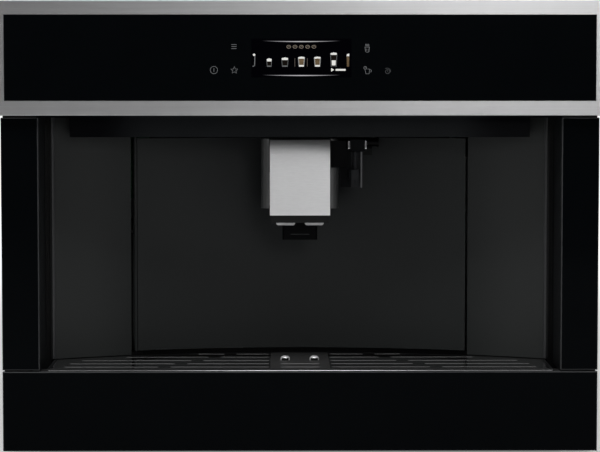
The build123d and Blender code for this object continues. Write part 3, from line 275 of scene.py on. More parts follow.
zinc_sheet = Finish("galvanised_sheet", Metallic=0.85)
flakes = zinc_sheet.cells((150, 150, 150), output=1)
flake = zinc_sheet.node("ShaderNodeSeparateColor", sockets={0: flakes}, output=0)
cloud = zinc_sheet.noise((14, 14, 14))
zinc_sheet.look(
    Base_Color=zinc_sheet.mix(flake * 0.4 + cloud * 0.4 + 0.1, zinc_dark, zinc_light),
    Roughness=zinc_sheet.between(flake, 0.40, 0.52),
    Normal=zinc_sheet.bump(zinc_sheet.noise((420, 420, 420)), 0.00004))
dress(zinc_sheet, "base_frame", "chassis_floor", "side_panel_left", "side_panel_right", "back_panel",
      "top_cover", "component_deck")

rail_zinc = Finish("drawn_rail", Metallic=1.0)
rail_zinc.grained((700, 3, 700), ((0.46, 0.46, 0.47, 1), (0.62, 0.62, 0.63, 1)), (0.24, 0.42), 0.00003)
dress(rail_zinc, "base_rails", "rail_middles", "rail_runners")

screw_zinc = Finish("screw_zinc", Metallic=1.0)
screw_zinc.grained((260, 260, 260), ((0.5, 0.5, 0.48, 1), (0.66, 0.66, 0.64, 1)), (0.2, 0.4))
dress(screw_zinc, "base_screws", "housing_screws")

# ---------------------------------------------------------------- black and grey plastics
# Injection-moulded parts behind and inside the front, snapped or screwed to the sheet metal. Their moulds
# leave a fine spark-eroded grain that looks dull from any side. The infuser's frame and piston are grey.
moulded_black = Finish("moulded_black", Specular_IOR_Level=0.35)
moulded_black.grained((1600, 1600, 1600), ((0.014, 0.014, 0.0145, 1), (0.026, 0.026, 0.027, 1)), (0.42, 0.6),
                      0.00005, detail=2)
dress(moulded_black, "front_frame", "tank_lid", "tank_dock", "infuser_door", "grounds_container",
      "grinder_housing", "coffee_funnel", "funnel_lid", "grind_knob", "mains_inlet", "power_switch",
      "brew_motor")

moulded_grey = Finish("moulded_grey")
moulded_grey.grained((1100, 1100, 1100), ((0.27, 0.28, 0.29, 1), (0.36, 0.37, 0.38, 1)), (0.45, 0.6), 0.00005,
                     detail=2)
dress(moulded_grey, "brew_frame", "brew_piston")

# ---------------------------------------------------------------- control panel frame
# A folded stainless-steel frame round the panel glass, brushed along its length and hung on the housing's
# front frame. The brushing scatters light in fine lines and a few broad bands.
steel_dark = (0.50, 0.50, 0.505, 1)
steel_light = (0.66, 0.66, 0.665, 1)


def soften(name, width, segments=2, angle=32):
    """Rounds a CAD node's sharp edges with modifiers. Widths are in metres and angles in degrees."""
    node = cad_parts[name]
    weld = node.modifiers.new("joined", "WELD")
    weld.merge_threshold = 0.00002
    bevel = node.modifiers.new("softened", "BEVEL")
    bevel.width, bevel.segments = width, segments
    bevel.limit_method, bevel.angle_limit = "ANGLE", math.radians(angle)
    bevel.harden_normals = True


brushed_steel = Finish("brushed_steel", Metallic=1.0)
streak = brushed_steel.noise((9, 1500, 1500), detail=4, rough=0.6)
broad = brushed_steel.noise((5, 90, 90), detail=2)
hairline = streak * 0.75 + broad * 0.25
brushed_steel.look(Base_Color=brushed_steel.mix(hairline, steel_dark, steel_light),
                   Roughness=brushed_steel.between(hairline, 0.27, 0.38),
                   Normal=brushed_steel.bump(streak, 0.00002))
dress(brushed_steel, "panel_frame")

# ---------------------------------------------------------------- black glass
# Toughened glass, painted black behind, in the panel, the two columns and the lower front. The faces are
# polished, and the narrow bevels round them are ground, so they show as fine grey lines.
glass_deep, glass_pale = (0.0014, 0.0019, 0.0024, 1), (0.0021, 0.0027, 0.0033, 1)
bevel_grey = (0.058, 0.060, 0.062, 1)
face_on = 0.96
glass_black = Finish("black_glass", Specular_IOR_Level=0.02)
haze = glass_black.noise((22, 22, 22))
ground = glass_black.facing("Y") < face_on
glass_black.look(
    Base_Color=glass_black.mix(ground, glass_black.mix(haze, glass_deep, glass_pale), bevel_grey),
    Roughness=glass_black.between(ground, glass_black.between(haze, 0.03, 0.07), 0.42))
dress(glass_black, "panel_glass", "column_glasses", "lower_glass")

# ---------------------------------------------------------------- display and touch marks
# Printed touch marks and a lit picture display, all flat on the glass and lit from the board behind it:
# menu, power, favourites, hot water, cup and timer keys, seven cups to choose from, a strength scale and a
# start key. Sizes here are in millimetres, from a point a little above the glass's middle.
panel_low, panel_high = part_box("panel_glass")
print_raised, print_proud = 0.0008, 0.00005
print_middle_z = (panel_low.z + panel_high.z) / 2 + print_raised
print_y = panel_low.y - print_proud
print_looks = (0, -1, 0)


def on_panel(x, z, proud=0.0):
    """A point of the panel's face, x right of and z above the middle, and proud metres in front."""
    return Vector((x / 1000, print_y - proud, print_middle_z + z / 1000))


def patch(bm, points, proud=0.0):
    """A flat patch with a corner at each point."""
    bm.faces.new([bm.verts.new(on_panel(x, z, proud)) for x, z in points])


def ribbon(bm, points, width, closed=False):
    """A flat stroke of even width along points."""
    count = len(points)
    pairs = []
    for i, (x, z) in enumerate(points):
        before = points[i - 1] if closed or i else points[i]
        after = points[(i + 1) % count] if closed or i < count - 1 else points[i]
        run = Vector((after[0] - before[0], after[1] - before[1])).normalized()
        pairs.append([(x - run.y * side, z + run.x * side) for side in (-width / 2, width / 2)])
    for i in range(count if closed else count - 1):
        (a, b), (c, d) = pairs[i], pairs[(i + 1) % count]
        patch(bm, (a, b, d, c))


def round_path(x, z, wide, high, start=0, end=360, steps=28):
    """Points of an ellipse or an arc of it, with its angles in degrees."""
    turns = [math.radians(start + (end - start) * i / steps) for i in range(steps + (end - start < 360))]
    return [(x + wide * math.cos(t), z + high * math.sin(t)) for t in turns]


def glow(name):
    """A finish that shows nothing but its own light."""
    return Finish(name, Roughness=0.5, Base_Color=(0, 0, 0, 1), Specular_IOR_Level=0.0, Emission_Strength=1.0)


def lit(name, tone, dim):
    """Light in one colour, a little uneven."""
    light = glow(name)
    flicker = light.noise((900, 900, 900), detail=1)
    return light.look(Emission_Color=light.mix(flicker, tone, dim))


mark_light = lit("mark_light", (0.20, 0.205, 0.21, 1), (0.14, 0.145, 0.15, 1))
faint_light = lit("faint_mark_light", (0.085, 0.088, 0.09, 1), (0.055, 0.058, 0.06, 1))

menu_at, power_at, star_at = (-65.6, 10.2), (-85.4, -12.9), (-65.2, -13.1)
tumbler_at, cup_at, timer_at = (66.0, 8.8), (65.9, -13.3), (86.2, -14.4)
stroke = 0.42


def touch_marks(bm):
    """Three bars, a ring with a stroke, a star, a steaming tumbler, and a cup with a clock."""
    for row in (-2.0, 0, 2.0):
        ribbon(bm, [(menu_at[0] - 2.6, menu_at[1] + row), (menu_at[0] + 2.6, menu_at[1] + row)], stroke * 0.9)
    ribbon(bm, round_path(*power_at, 3.6, 3.6), stroke * 0.8, closed=True)
    ribbon(bm, [(power_at[0], power_at[1] - 1.8), (power_at[0], power_at[1] + 1.8)], stroke)
    star = []
    for i in range(10):
        reach = 3.7 if i % 2 == 0 else 1.6
        turn = math.radians(90 + 36 * i)
        star.append((star_at[0] + reach * math.cos(turn), star_at[1] + reach * math.sin(turn)))
    ribbon(bm, star, stroke, closed=True)
    x, z = tumbler_at
    ribbon(bm, [(x - 2.2, z + 0.7), (x - 1.7, z - 3.4), (x - 0.9, z - 4.1), (x + 0.9, z - 4.1),
                (x + 1.7, z - 3.4), (x + 2.2, z + 0.7)], stroke)
    ribbon(bm, [(x - 2.5, z + 0.9), (x + 2.5, z + 0.9)], stroke)
    for side in (-1.3, 0, 1.3):
        ribbon(bm, round_path(x + side, z + 2.9, 0.45, 1.0), stroke * 0.7, closed=True)
    ribbon(bm, [(x - 0.9, z - 0.7), (x - 0.9, z - 2.6)], stroke * 0.8)
    ribbon(bm, [(x + 0.9, z - 0.7), (x + 0.9, z - 2.6)], stroke * 0.8)
    x, z = cup_at
    ribbon(bm, [(x - 1.9, z + 0.4), (x - 1.3, z - 3.3), (x + 2.0, z - 3.3), (x + 2.6, z + 1.4),
                (x + 0.4, z + 1.4)], stroke)
    ribbon(bm, round_path(x + 2.9, z - 0.4, 1.3, 1.3, -70, 80, 8), stroke * 0.9)
    ribbon(bm, round_path(x - 1.9, z + 2.5, 1.4, 1.4), stroke * 0.9, closed=True)
    ribbon(bm, [(x - 1.9, z + 3.2), (x - 1.9, z + 2.5), (x - 1.3, z + 2.2)], stroke * 0.7)


def timer_mark(bm):
    """A clock with an arc over it."""
    x, z = timer_at
    ribbon(bm, round_path(x, z - 0.1, 2.2, 1.9), stroke, closed=True)
    ribbon(bm, [(x, z + 1.2), (x, z - 0.2), (x + 1.0, z - 0.8)], stroke * 0.8)
    ribbon(bm, round_path(x - 0.4, z + 0.4, 3.3, 2.9, -20, 130, 12), stroke * 0.8)


mesh_piece("touch_marks", touch_marks, mark_light, "machine", print_looks)
mesh_piece("timer_mark", timer_mark, faint_light, "machine", print_looks)

# The cups stand in a row: foam in three soft humps, coffee behind the glass, and a thick clear base.
# Each is x, width and height in millimetres, and the share of foam. Milk is stirred into the milk cups, and
# of the two outermost ones only a side shows. The layers keep what overlaps apart, in metres.
cup_base_z = -9.5
small_cups = [(-30.8, 5.4, 8.0, 0.36), (-15.3, 6.9, 9.0, 0.28)]
milk_cups = [(1.0, 7.0, 10.0, 0.22), (16.8, 7.0, 10.0, 0.20)]
tall_cup = (32.9, 6.8, 14.6, 0.21)
left_cup, right_cup = (-45.9, 12.8), (46.9, 12.8)
bar_places = (-5.5, 6.8)
coffee_layer, foam_layer, hump_layer = 0.00001, 0.00002, 0.00003

picture_white = lit("picture_foam", (0.86, 0.85, 0.82, 1), (0.70, 0.69, 0.66, 1))
picture_glass = lit("picture_glass", (0.115, 0.12, 0.125, 1), (0.17, 0.172, 0.175, 1))
picture_coffee = lit("picture_coffee", (0.004, 0.0035, 0.003, 1), (0.012, 0.009, 0.007, 1))
picture_bar = lit("picture_bar", (0.10, 0.095, 0.09, 1), (0.13, 0.10, 0.08, 1))

picture_milk = glow("picture_milk_coffee")
stirred = picture_milk.noise((420, 420, 300), detail=2)
picture_milk.look(Emission_Color=picture_milk.mix(stirred, (0.020, 0.017, 0.010, 1), (0.22, 0.15, 0.085, 1)))


def glass_side(x, wide, tall, low, high, inset=0.0, taper=0.22):
    """Four corners of a glass's side, between two shares of its height."""
    half = wide / 2 - inset
    (low_half, low_z), (high_half, high_z) = [(half * (1 - taper * (1 - h)), cup_base_z + tall * h)
                                              for h in (low, high)]
    return [(x - low_half, low_z), (x + low_half, low_z), (x + high_half, high_z), (x - high_half, high_z)]


def foam_on(bm, x, wide, tall, share):
    patch(bm, glass_side(x, wide, tall, 1 - share, 0.9, 0.4), foam_layer)
    top = cup_base_z + tall * 0.88
    for off, lift, size in ((-0.28, 0.0, 0.23), (0.0, 0.35, 0.26), (0.28, 0.1, 0.22)):
        hump = round_path(x + off * wide * 0.9, top + lift - 0.2, wide * size * 0.9, 0.9, steps=14)
        patch(bm, hump, hump_layer)


def cup_foam(bm):
    """Foam on each cup, the thick clear feet and sides that shine white, and what shows of the outer cups."""
    for cup in small_cups + milk_cups + [tall_cup]:
        foam_on(bm, *cup)
    x, wide, tall, share = tall_cup
    patch(bm, glass_side(x, wide, tall, 0.08, 0.42, 1.1), foam_layer)
    for x, wide, tall, share in milk_cups:
        patch(bm, glass_side(x, wide, tall, 0.0, 0.16, 0.5), foam_layer)
        a, b, c, d = glass_side(x, wide, tall, 0.1, 1 - share, 0.9)
        ribbon(bm, [a, d], 0.6)
        ribbon(bm, [b, c], 0.6)
    x, tall = left_cup
    patch(bm, round_path(x + 0.2, cup_base_z + tall - 1.2, 1.2, 1.2, steps=14), foam_layer)
    x, tall = right_cup
    top = cup_base_z + tall
    patch(bm, [(x - 1.3, cup_base_z + tall * 0.8), (x + 1.3, cup_base_z + tall * 0.8), (x + 1.4, top),
               (x - 0.9, top - 0.5)], foam_layer)


def cup_milk(bm):
    for x, wide, tall, share in milk_cups:
        patch(bm, glass_side(x, wide, tall, 0.12, 1 - share, 0.8), coffee_layer)
    x, tall = right_cup
    patch(bm, [(x - 0.9, cup_base_z), (x + 1.2, cup_base_z), (x + 1.3, cup_base_z + tall * 0.8),
               (x - 1.2, cup_base_z + tall * 0.8)], coffee_layer)


def cup_coffee(bm):
    for x, wide, tall, share in small_cups:
        patch(bm, glass_side(x, wide, tall, 0.08, 1 - share, 0.4), coffee_layer)
    x, wide, tall, share = tall_cup
    patch(bm, glass_side(x, wide, tall, 0.44, 1 - share, 0.5), coffee_layer)


def cup_glasses(bm):
    """The outline of each glass, open at the top."""
    for x, wide, tall, share in small_cups + milk_cups + [tall_cup]:
        a, b, c, d = glass_side(x, wide, tall, 0, 0.9, 0.15)
        ribbon(bm, [d, a, b, c], 0.45)
    for x, wide, tall, share in small_cups:
        patch(bm, glass_side(x, wide, tall, 0.0, 0.12, 0.6), foam_layer)
    x, tall = left_cup
    ribbon(bm, [(x + 1.0, cup_base_z + tall - 1.6), (x + 0.7, cup_base_z + 1.4), (x - 0.2, cup_base_z + 0.4),
                (x - 1.4, cup_base_z + 0.3)], 0.8)


def choice_bars(bm):
    """Two thin bars, left and right of the chosen cup."""
    for x in bar_places:
        ribbon(bm, [(x, cup_base_z), (x, cup_base_z + 8.2)], 0.45)


mesh_piece("display_foam", cup_foam, picture_white, "machine", print_looks)
mesh_piece("display_milk_coffee", cup_milk, picture_milk, "machine", print_looks)
mesh_piece("display_coffee", cup_coffee, picture_coffee, "machine", print_looks)
mesh_piece("display_glasses", cup_glasses, picture_glass, "machine", print_looks)
mesh_piece("display_choice_bars", choice_bars, picture_bar, "machine", print_looks)

# Over the cups is the strength scale of coffee beans, and under the tall cup the start key: a triangle
# and a bar.
bean_row_z = 10.0
bean_pitch = 6.2
start_at = (37.6, -12.7)
picture_bean = lit("picture_bean", (0.24, 0.20, 0.165, 1), (0.16, 0.135, 0.11, 1))


def strength_scale(bm):
    """Five coffee beans in outline, each with a curved slit."""
    for i in range(-2, 3):
        x = 0.9 + i * bean_pitch
        ribbon(bm, round_path(x, bean_row_z, 2.0, 1.5, steps=18), 0.5, closed=True)
        ribbon(bm, [(x - 1.3, bean_row_z - 0.5), (x, bean_row_z + 0.2), (x + 1.3, bean_row_z + 0.1)], 0.4)


def start_key(bm):
    x, z = start_at
    patch(bm, [(x - 7.2, z - 1.8), (x - 4.2, z), (x - 7.2, z + 1.8)])
    patch(bm, [(x - 2.8, z - 0.9), (x + 7.0, z - 0.9), (x + 7.0, z + 0.9), (x - 2.8, z + 0.9)])


mesh_piece("display_strength_scale", strength_scale, picture_bean, "machine", print_looks)
mesh_piece("display_start_key", start_key, picture_white, "machine", print_looks)

# Two thin glowing crescents close the display at its top and bottom and fade out at their ends. They are
# painted highlights of the curved lens's top and bottom edges.
crescent_half = 39.0
crescent_middle = 1.0
crescent_rows = ((15.9, -0.8), (-17.8, -0.5))
crescent_thick, crescent_tip = 0.9, 0.02
crescent_steps = 24
crescent_dim, crescent_highlight = (0.004, 0.004, 0.005, 1), (0.46, 0.445, 0.475, 1)
crescent_painted_highlight = glow("crescent_painted_highlight")
# Painted highlight: each crescent glows brightest in the middle and fades towards its ends.
off_middle = crescent_painted_highlight.unsigned(crescent_painted_highlight.along("X") - crescent_middle / 1000)
fade = crescent_painted_highlight.most(1 - off_middle * (1000 / crescent_half), 0.0) ** 0.7
crescent_painted_highlight.look(Emission_Color=crescent_painted_highlight.mix(fade, crescent_dim, crescent_highlight))


def crescents(bm):
    for z, sag in crescent_rows:
        for i in range(crescent_steps):
            ends = []
            for k in (i, i + 1):
                t = 2 * k / crescent_steps - 1
                thick = crescent_thick * (1 - t * t) + crescent_tip
                x, middle = crescent_middle + t * crescent_half, z + sag * (1 - t * t)
                ends.append([(x, middle - thick / 2), (x, middle + thick / 2)])
            patch(bm, [ends[0][0], ends[1][0], ends[1][1], ends[0][1]])


mesh_piece("display_crescents", crescents, crescent_painted_highlight, "machine", print_looks)

# The display's own window is a shade darker and bluer than the glass around it.
window_tint = lit("display_window_light", (0.0009, 0.0008, 0.0016, 1), (0.0005, 0.0005, 0.0011, 1))
window_corners = ((-48.4, -20.2), (50.4, -20.2), (50.4, 18.0), (-48.4, 18.0))
window_back = -0.00003


def display_window(bm):
    patch(bm, window_corners, window_back)


mesh_piece("display_window", display_window, window_tint, "machine", print_looks)

# ---------------------------------------------------------------- circuit boards
# Glass-fibre boards, green lacquer over etched copper tracks, with soldered parts. One is screwed behind the
# panel glass and one stands on the component deck.
circuit_board = Finish("circuit_board", Specular_IOR_Level=0.4)
tracks = circuit_board.cells((260, 260, 260), output=0) > 0.42
resin = circuit_board.noise((120, 120, 120))
circuit_board.look(
    Base_Color=circuit_board.mix(tracks * 0.6 + resin * 0.3, (0.03, 0.16, 0.07, 1), (0.12, 0.32, 0.16, 1)),
    Roughness=circuit_board.between(resin, 0.35, 0.5),
    Normal=circuit_board.bump(tracks, 0.00003))
dress(circuit_board, "display_module", "power_board")

# ---------------------------------------------------------------- curved niche wall and service door
# The wall behind the cups is moulded in three parts, satin black with a fine skin. The middle one is the
# service door. Its uneven wiped tone is painted paler towards its ends, painted light where the lamps reach
# it more. A painted shadow darkens it round the spout. Past its rolled edges it is painted near black, a
# painted shade of the gap behind the straight sides. The painted shadow's distances run from the spout's
# top, and the others from the machine's middle.
wall_dark, wall_painted_lit = (0.0182, 0.0206, 0.0206, 1), (0.0400, 0.0424, 0.0418, 1)
wall_painted_spout_shadow, wall_painted_gap_shade = (0.0115, 0.0135, 0.0145, 1), (0.0012, 0.0015, 0.0018, 1)
painted_light_from, painted_light_to = 0.160, 0.225
spout_top = (0.0, 0.0, 0.315)
painted_shadow_from, painted_shadow_to = 0.02, 0.17
painted_gap_from, painted_gap_turn = 0.2547, 0.8
wall_paint = Finish("satin_black_wall", Specular_IOR_Level=0.22)
peel = wall_paint.noise((700, 700, 700), detail=2)
wipe = wall_paint.noise((6, 6, 6))
# Painted light and shadow: paler towards the wall's ends, darker round the spout.
painted_side_light = wall_paint.rise(wall_paint.aside(), painted_light_from, painted_light_to)
out_of_painted_shadow = wall_paint.rise(wall_paint.away(spout_top, (1, 0, 1)), painted_shadow_from, painted_shadow_to)
wall_wipe_and_painted_light = wall_paint.mix(wipe * 0.4 + painted_side_light * 0.6, wall_dark, wall_painted_lit)
# Painted shade: near black past the rolled edges and on faces that turn away from the front.
painted_gap_shade = wall_paint.most(wall_paint.aside() > painted_gap_from, wall_paint.facing("Y") < painted_gap_turn)
wall_paint.look(
    Base_Color=wall_paint.mix(painted_gap_shade, wall_paint.mix(out_of_painted_shadow, wall_painted_spout_shadow, wall_wipe_and_painted_light), wall_painted_gap_shade),
    Roughness=wall_paint.between(peel * 0.5 + wipe * 0.5, 0.46, 0.58),
    Normal=wall_paint.bump(peel, 0.00003))
dress(wall_paint, "niche_wall_left", "niche_wall_right", "service_door")

# ---------------------------------------------------------------- rolled wall edges
# Each end of the curved wall is rolled into a shallow round, a little proud of the wall, which stiffens it
# and shines where it is wiped. It is moulded in one with the wall.
wall_foot, wall_top = 0.0886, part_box("niche_wall_left")[1].z
wall_radius, wall_depth = 0.533, 0.143
wall_centre_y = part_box("column_glasses")[0].y + wall_depth - wall_radius
edge_middle, edge_half, edge_proud, edge_back = 0.2530, 0.0016, 0.0010, 0.0006
edge_sunk, edge_steps = 0.0001, 8
edge_satin = Finish("wall_edge_satin", Specular_IOR_Level=0.5)
edge_satin.grained((500, 500, 60), ((0.034, 0.036, 0.038, 1), (0.050, 0.052, 0.054, 1)), (0.28, 0.38))


def bar(bm, ends):
    """A closed bar between two outlines that have as many corners."""
    rings = [[bm.verts.new(corner) for corner in outline] for outline in ends]
    for i in range(len(rings[0])):
        k = (i + 1) % len(rings[0])
        bm.faces.new((rings[0][i], rings[0][k], rings[1][k], rings[1][i]))
    for ring in rings:
        bm.faces.new(ring)


def wall_edges(bm):
    for side in (-1, 1):
        outline = []
        for i in range(edge_steps + 1):
            turn = math.radians(180 * i / edge_steps)
            x = edge_middle + edge_half * math.cos(turn)
            y = wall_centre_y + math.sqrt(wall_radius ** 2 - x * x) - edge_proud * math.sin(turn) + edge_sunk
            outline.append((side * x, y))
        outline += [(side * (edge_middle - edge_half * 0.9), outline[-1][1] + edge_back),
                    (side * (edge_middle + edge_half * 0.9), outline[0][1] + edge_back)]
        bar(bm, [[(x, y, z) for x, y in outline] for z in (wall_foot, wall_top)])


mesh_piece("wall_edges", wall_edges, edge_satin, "machine")

# ---------------------------------------------------------------- hood
# A gloss black band that is clipped under the control panel, over the cups. Its colour holds a painted
# reflection: paler in the middle, where it catches light, and painted near black at its two ends.
hood_deep, hood_pale = (0.0112, 0.0126, 0.0140, 1), (0.0134, 0.0148, 0.0162, 1)
hood_painted_dark_reflection = (0.0006, 0.0008, 0.0018, 1)
dark_reflection_from, dark_reflection_to = 0.150, 0.205
hood_gloss = Finish("gloss_black_hood", Specular_IOR_Level=0.05)
ripple = hood_gloss.noise((30, 30, 30), detail=1)
# Painted reflection: the band is painted near black towards its ends.
toward_painted_dark_ends = hood_gloss.rise(hood_gloss.aside(), dark_reflection_from, dark_reflection_to)
hood_gloss.look(Base_Color=hood_gloss.mix(toward_painted_dark_ends, hood_gloss.mix(ripple, hood_deep, hood_pale), hood_painted_dark_reflection),
                Roughness=hood_gloss.between(ripple, 0.30, 0.42),
                Normal=hood_gloss.bump(ripple, 0.0002, 0.2))
dress(hood_gloss, "hood")

# ---------------------------------------------------------------- straight niche sides and lamps
# The sides are flat satin black mouldings, snapped behind the column glasses. The lamps' covers are frosted
# clear plastic, clipped into the hood's underside.
side_satin = Finish("satin_black_side", Specular_IOR_Level=0.3)
side_satin.grained((500, 500, 500), ((0.0045, 0.0052, 0.0062, 1), (0.0065, 0.0074, 0.0085, 1)), (0.4, 0.52),
                   0.00003, detail=2)
dress(side_satin, "niche_sides")

lamp_cover = Finish("lamp_cover", Transmission_Weight=0.2)
lamp_cover.grained((400, 400, 400), ((0.62, 0.64, 0.66, 1), (0.78, 0.80, 0.82, 1)), (0.35, 0.5), 0.00004)
dress(lamp_cover, "hood_lamps")

# ---------------------------------------------------------------- drip tray and its well
# The tray is a satin black moulding that catches what is spilt and lifts out. It drops into a dull black
# well, a moulding of its own on the machine's floor.
tray_satin = Finish("tray_satin", Specular_IOR_Level=0.3)
tray_satin.grained((900, 900, 900), ((0.008, 0.0085, 0.009, 1), (0.013, 0.0135, 0.014, 1)), (0.3, 0.45),
                   0.00003, detail=2)
dress(tray_satin, "drip_pan")

well_black = Finish("well_black", Specular_IOR_Level=0.08)
well_black.grained((300, 300, 300), ((0.0014, 0.0015, 0.0017, 1), (0.0026, 0.0027, 0.0030, 1)), (0.45, 0.6),
                   detail=2)
dress(well_black, "tray_well")

# ---------------------------------------------------------------- cup grid
# Punched sheet steel under gloss black enamel, laid on the tray's rim. Its top mirrors the wall, the strip
# between the floats is plain satin, and the slots' cut edges are bare.
enamel_dark, enamel_pale = (0.0125, 0.0127, 0.0130, 1), (0.0150, 0.0152, 0.0155, 1)
plain_grey, cut_grey = (0.0240, 0.0242, 0.0245, 1), (0.24, 0.24, 0.242, 1)
plain_half, cut_turn = 0.0300, 0.5
grid_enamel = Finish("grid_enamel", Specular_IOR_Level=0.9, Coat_Roughness=0.06)
orange_peel = grid_enamel.noise((160, 160, 160), detail=2)
cut_edge = grid_enamel.facing("Z") < cut_turn
plain_middle = grid_enamel.aside() < plain_half
enamel = grid_enamel.mix(plain_middle, grid_enamel.mix(orange_peel, enamel_dark, enamel_pale), plain_grey)
grid_enamel.look(
    Base_Color=grid_enamel.mix(cut_edge, enamel, cut_grey),
    Roughness=grid_enamel.between(plain_middle, grid_enamel.between(orange_peel, 0.09, 0.15), 0.5),
    Coat_Weight=1 - grid_enamel.most(plain_middle, cut_edge),
    Normal=grid_enamel.bump(orange_peel, 0.00002, 0.2))
dress(grid_enamel, "cup_grid")

# ---------------------------------------------------------------- tray lip
# A drawn steel strip with a rounded front, pressed on along the lower half of the tray's rim. Its reflection
# is bright in the middle, and towards its ends the colour is painted darker, a painted shade of that
# reflection. The profile is measured from the tray's front and rim.
lip_profile = [(0.0004, -0.0024), (-0.0003, -0.0023), (-0.0006, -0.0021), (-0.0007, -0.0019),
               (-0.00053, -0.0016), (-0.00028, -0.0014), (0.0004, -0.0013)]
lip_dark, lip_pale, lip_painted_dim = (0.56, 0.56, 0.565, 1), (0.74, 0.74, 0.745, 1), (0.15, 0.15, 0.152, 1)
dim_from, dim_to = 0.02, 0.17
pan_low, pan_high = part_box("drip_pan")
lip_inset = 0.0006
lip_half = pan_high.x - lip_inset
lip_steel = Finish("tray_lip_steel", Metallic=1.0)
lip_streak = lip_steel.noise((20, 900, 900))
# Painted shade: the strip is painted darker towards its ends, where its reflection fades.
painted_dim_ends = lip_steel.rise(lip_steel.aside(), dim_from, dim_to)
lip_steel.look(Base_Color=lip_steel.mix(painted_dim_ends, lip_steel.mix(lip_streak, lip_dark, lip_pale), lip_painted_dim),
               Roughness=lip_steel.between(lip_streak, 0.26, 0.36))


def tray_lip(bm):
    bar(bm, [[(x, pan_low.y + y, pan_high.z + z) for y, z in lip_profile] for x in (-lip_half, lip_half)])


mesh_piece("tray_lip", tray_lip, lip_steel, "drip_tray")

# ---------------------------------------------------------------- level floats
# Two polished domed caps stand through the grid on their floats and rise with the waste water. Their
# colour is a painted reflection: near white and only partly metallic, so that they show bright. The lower
# half of each front is painted black, a painted shade of the hole round the float.
float_pale_painted_reflection, float_painted_shade = (0.90, 0.90, 0.91, 1), (0.0012, 0.0012, 0.0012, 1)
shade_turn, shade_high = 0.64, 0.0024
float_caps = Finish("float_cap_steel")
grid_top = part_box("cup_grid")[1].z
in_front = float_caps.facing("Y") > shade_turn
below_dome = float_caps.along("Z") < grid_top + shade_high
# Painted shade: the lower half of each cap's front is painted black.
painted_shade_front = in_front * below_dome
polish = float_caps.noise((300, 300, 300))
# Painted reflection: the caps are painted near white and partly diffuse.
float_caps.look(Base_Color=float_caps.mix(painted_shade_front, float_pale_painted_reflection, float_painted_shade),
                Metallic=(1 - painted_shade_front) * 0.35,
                Roughness=float_caps.between(polish, 0.2, 0.3))
dress(float_caps, "level_floats")

# ---------------------------------------------------------------- spout guide
# A satin grey moulding that is screwed to the service door. The coffee spout slides in it, and its inner
# edges next to the cover are painted paler, a painted highlight where its rounded wings catch the light.
guide_dark, guide_pale = (0.034, 0.036, 0.036, 1), (0.051, 0.053, 0.053, 1)
guide_painted_highlight = (0.135, 0.137, 0.137, 1)
highlight_from, highlight_to = 0.0355, 0.0310
guide_satin = Finish("guide_satin", Specular_IOR_Level=0.5)
guide_grain = guide_satin.noise((900, 900, 300), detail=2)
# Painted highlight: the wings are painted paler towards the cover.
painted_inner_highlight = guide_satin.rise(guide_satin.aside(), highlight_from, highlight_to)
guide_satin.look(
    Base_Color=guide_satin.mix(painted_inner_highlight, guide_satin.mix(guide_grain, guide_dark, guide_pale), guide_painted_highlight),
    Roughness=guide_satin.between(guide_grain, 0.28, 0.4),
    Normal=guide_satin.bump(guide_grain, 0.00003))
dress(guide_satin, "spout_guide")

# ---------------------------------------------------------------- coffee and water tubes
# Milky silicone tubes, drawn and cut to length, then pushed on barbed fittings: the feed tube in the spout
# guide, and the water hoses between the tank, the pump and the heaters.
silicone = Finish("silicone_tube", Transmission_Weight=0.3, Specular_IOR_Level=0.4)
silicone.grained((90, 90, 90), ((0.62, 0.62, 0.58, 1), (0.74, 0.74, 0.70, 1)), (0.3, 0.45))
dress(silicone, "coffee_feed_tube", "water_hoses")

# ---------------------------------------------------------------- steam connector
# A gloss black moulding on the service door, with the nozzle that the hot-water spout is pushed on. Its lug
# at the lower right is satin, in the wall's tone.
moulding_deep, moulding_pale = (0.0006, 0.0008, 0.0012, 1), (0.0013, 0.0015, 0.0019, 1)
lug_tone = (0.0125, 0.0140, 0.0135, 1)
lug_left, lug_top = 0.055, 0.3035
gloss_black = Finish("gloss_black_moulding", Specular_IOR_Level=0.06)
flow = gloss_black.noise((60, 60, 60), detail=1)
lug = (gloss_black.along("X") > lug_left) * (gloss_black.along("Z") < lug_top)
gloss_black.look(
    Base_Color=gloss_black.mix(lug, gloss_black.mix(flow, moulding_deep, moulding_pale), lug_tone),
    Roughness=gloss_black.between(flow, 0.16, 0.28))
dress(gloss_black, "steam_connector")

# ---------------------------------------------------------------- nozzle block and spout body
# The coffee spout's body is a satin black moulding. The gloss black block under it holds the twin nozzles,
# and a thin pale line is painted across its front, a painted highlight of an edge across it.
line_above, line_half_thick, line_half = 0.0057, 0.0004, 0.0095
highlight_line_tone = (0.030, 0.031, 0.032, 1)
nozzle_black = Finish("nozzle_black", Specular_IOR_Level=0.06)
nozzle_flow = nozzle_black.noise((60, 60, 60), detail=1)
# Painted highlight: a thin paler line across the block's front.
off_line = nozzle_black.unsigned(nozzle_black.along("Z") - (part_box("nozzle_block")[0].z + line_above))
painted_highlight_line = (off_line < line_half_thick) * (nozzle_black.aside() < line_half)
nozzle_tone = nozzle_black.mix(nozzle_flow, moulding_deep, moulding_pale)
nozzle_black.look(Base_Color=nozzle_black.mix(painted_highlight_line, nozzle_tone, highlight_line_tone),
                  Roughness=nozzle_black.between(nozzle_flow, 0.16, 0.28))
dress(nozzle_black, "nozzle_block")

spout_satin = Finish("spout_satin", Specular_IOR_Level=0.15)
spout_satin.grained((700, 700, 700), ((0.0052, 0.0058, 0.0056, 1), (0.0072, 0.0078, 0.0076, 1)), (0.34, 0.48),
                    detail=2)
dress(spout_satin, "spout_body")

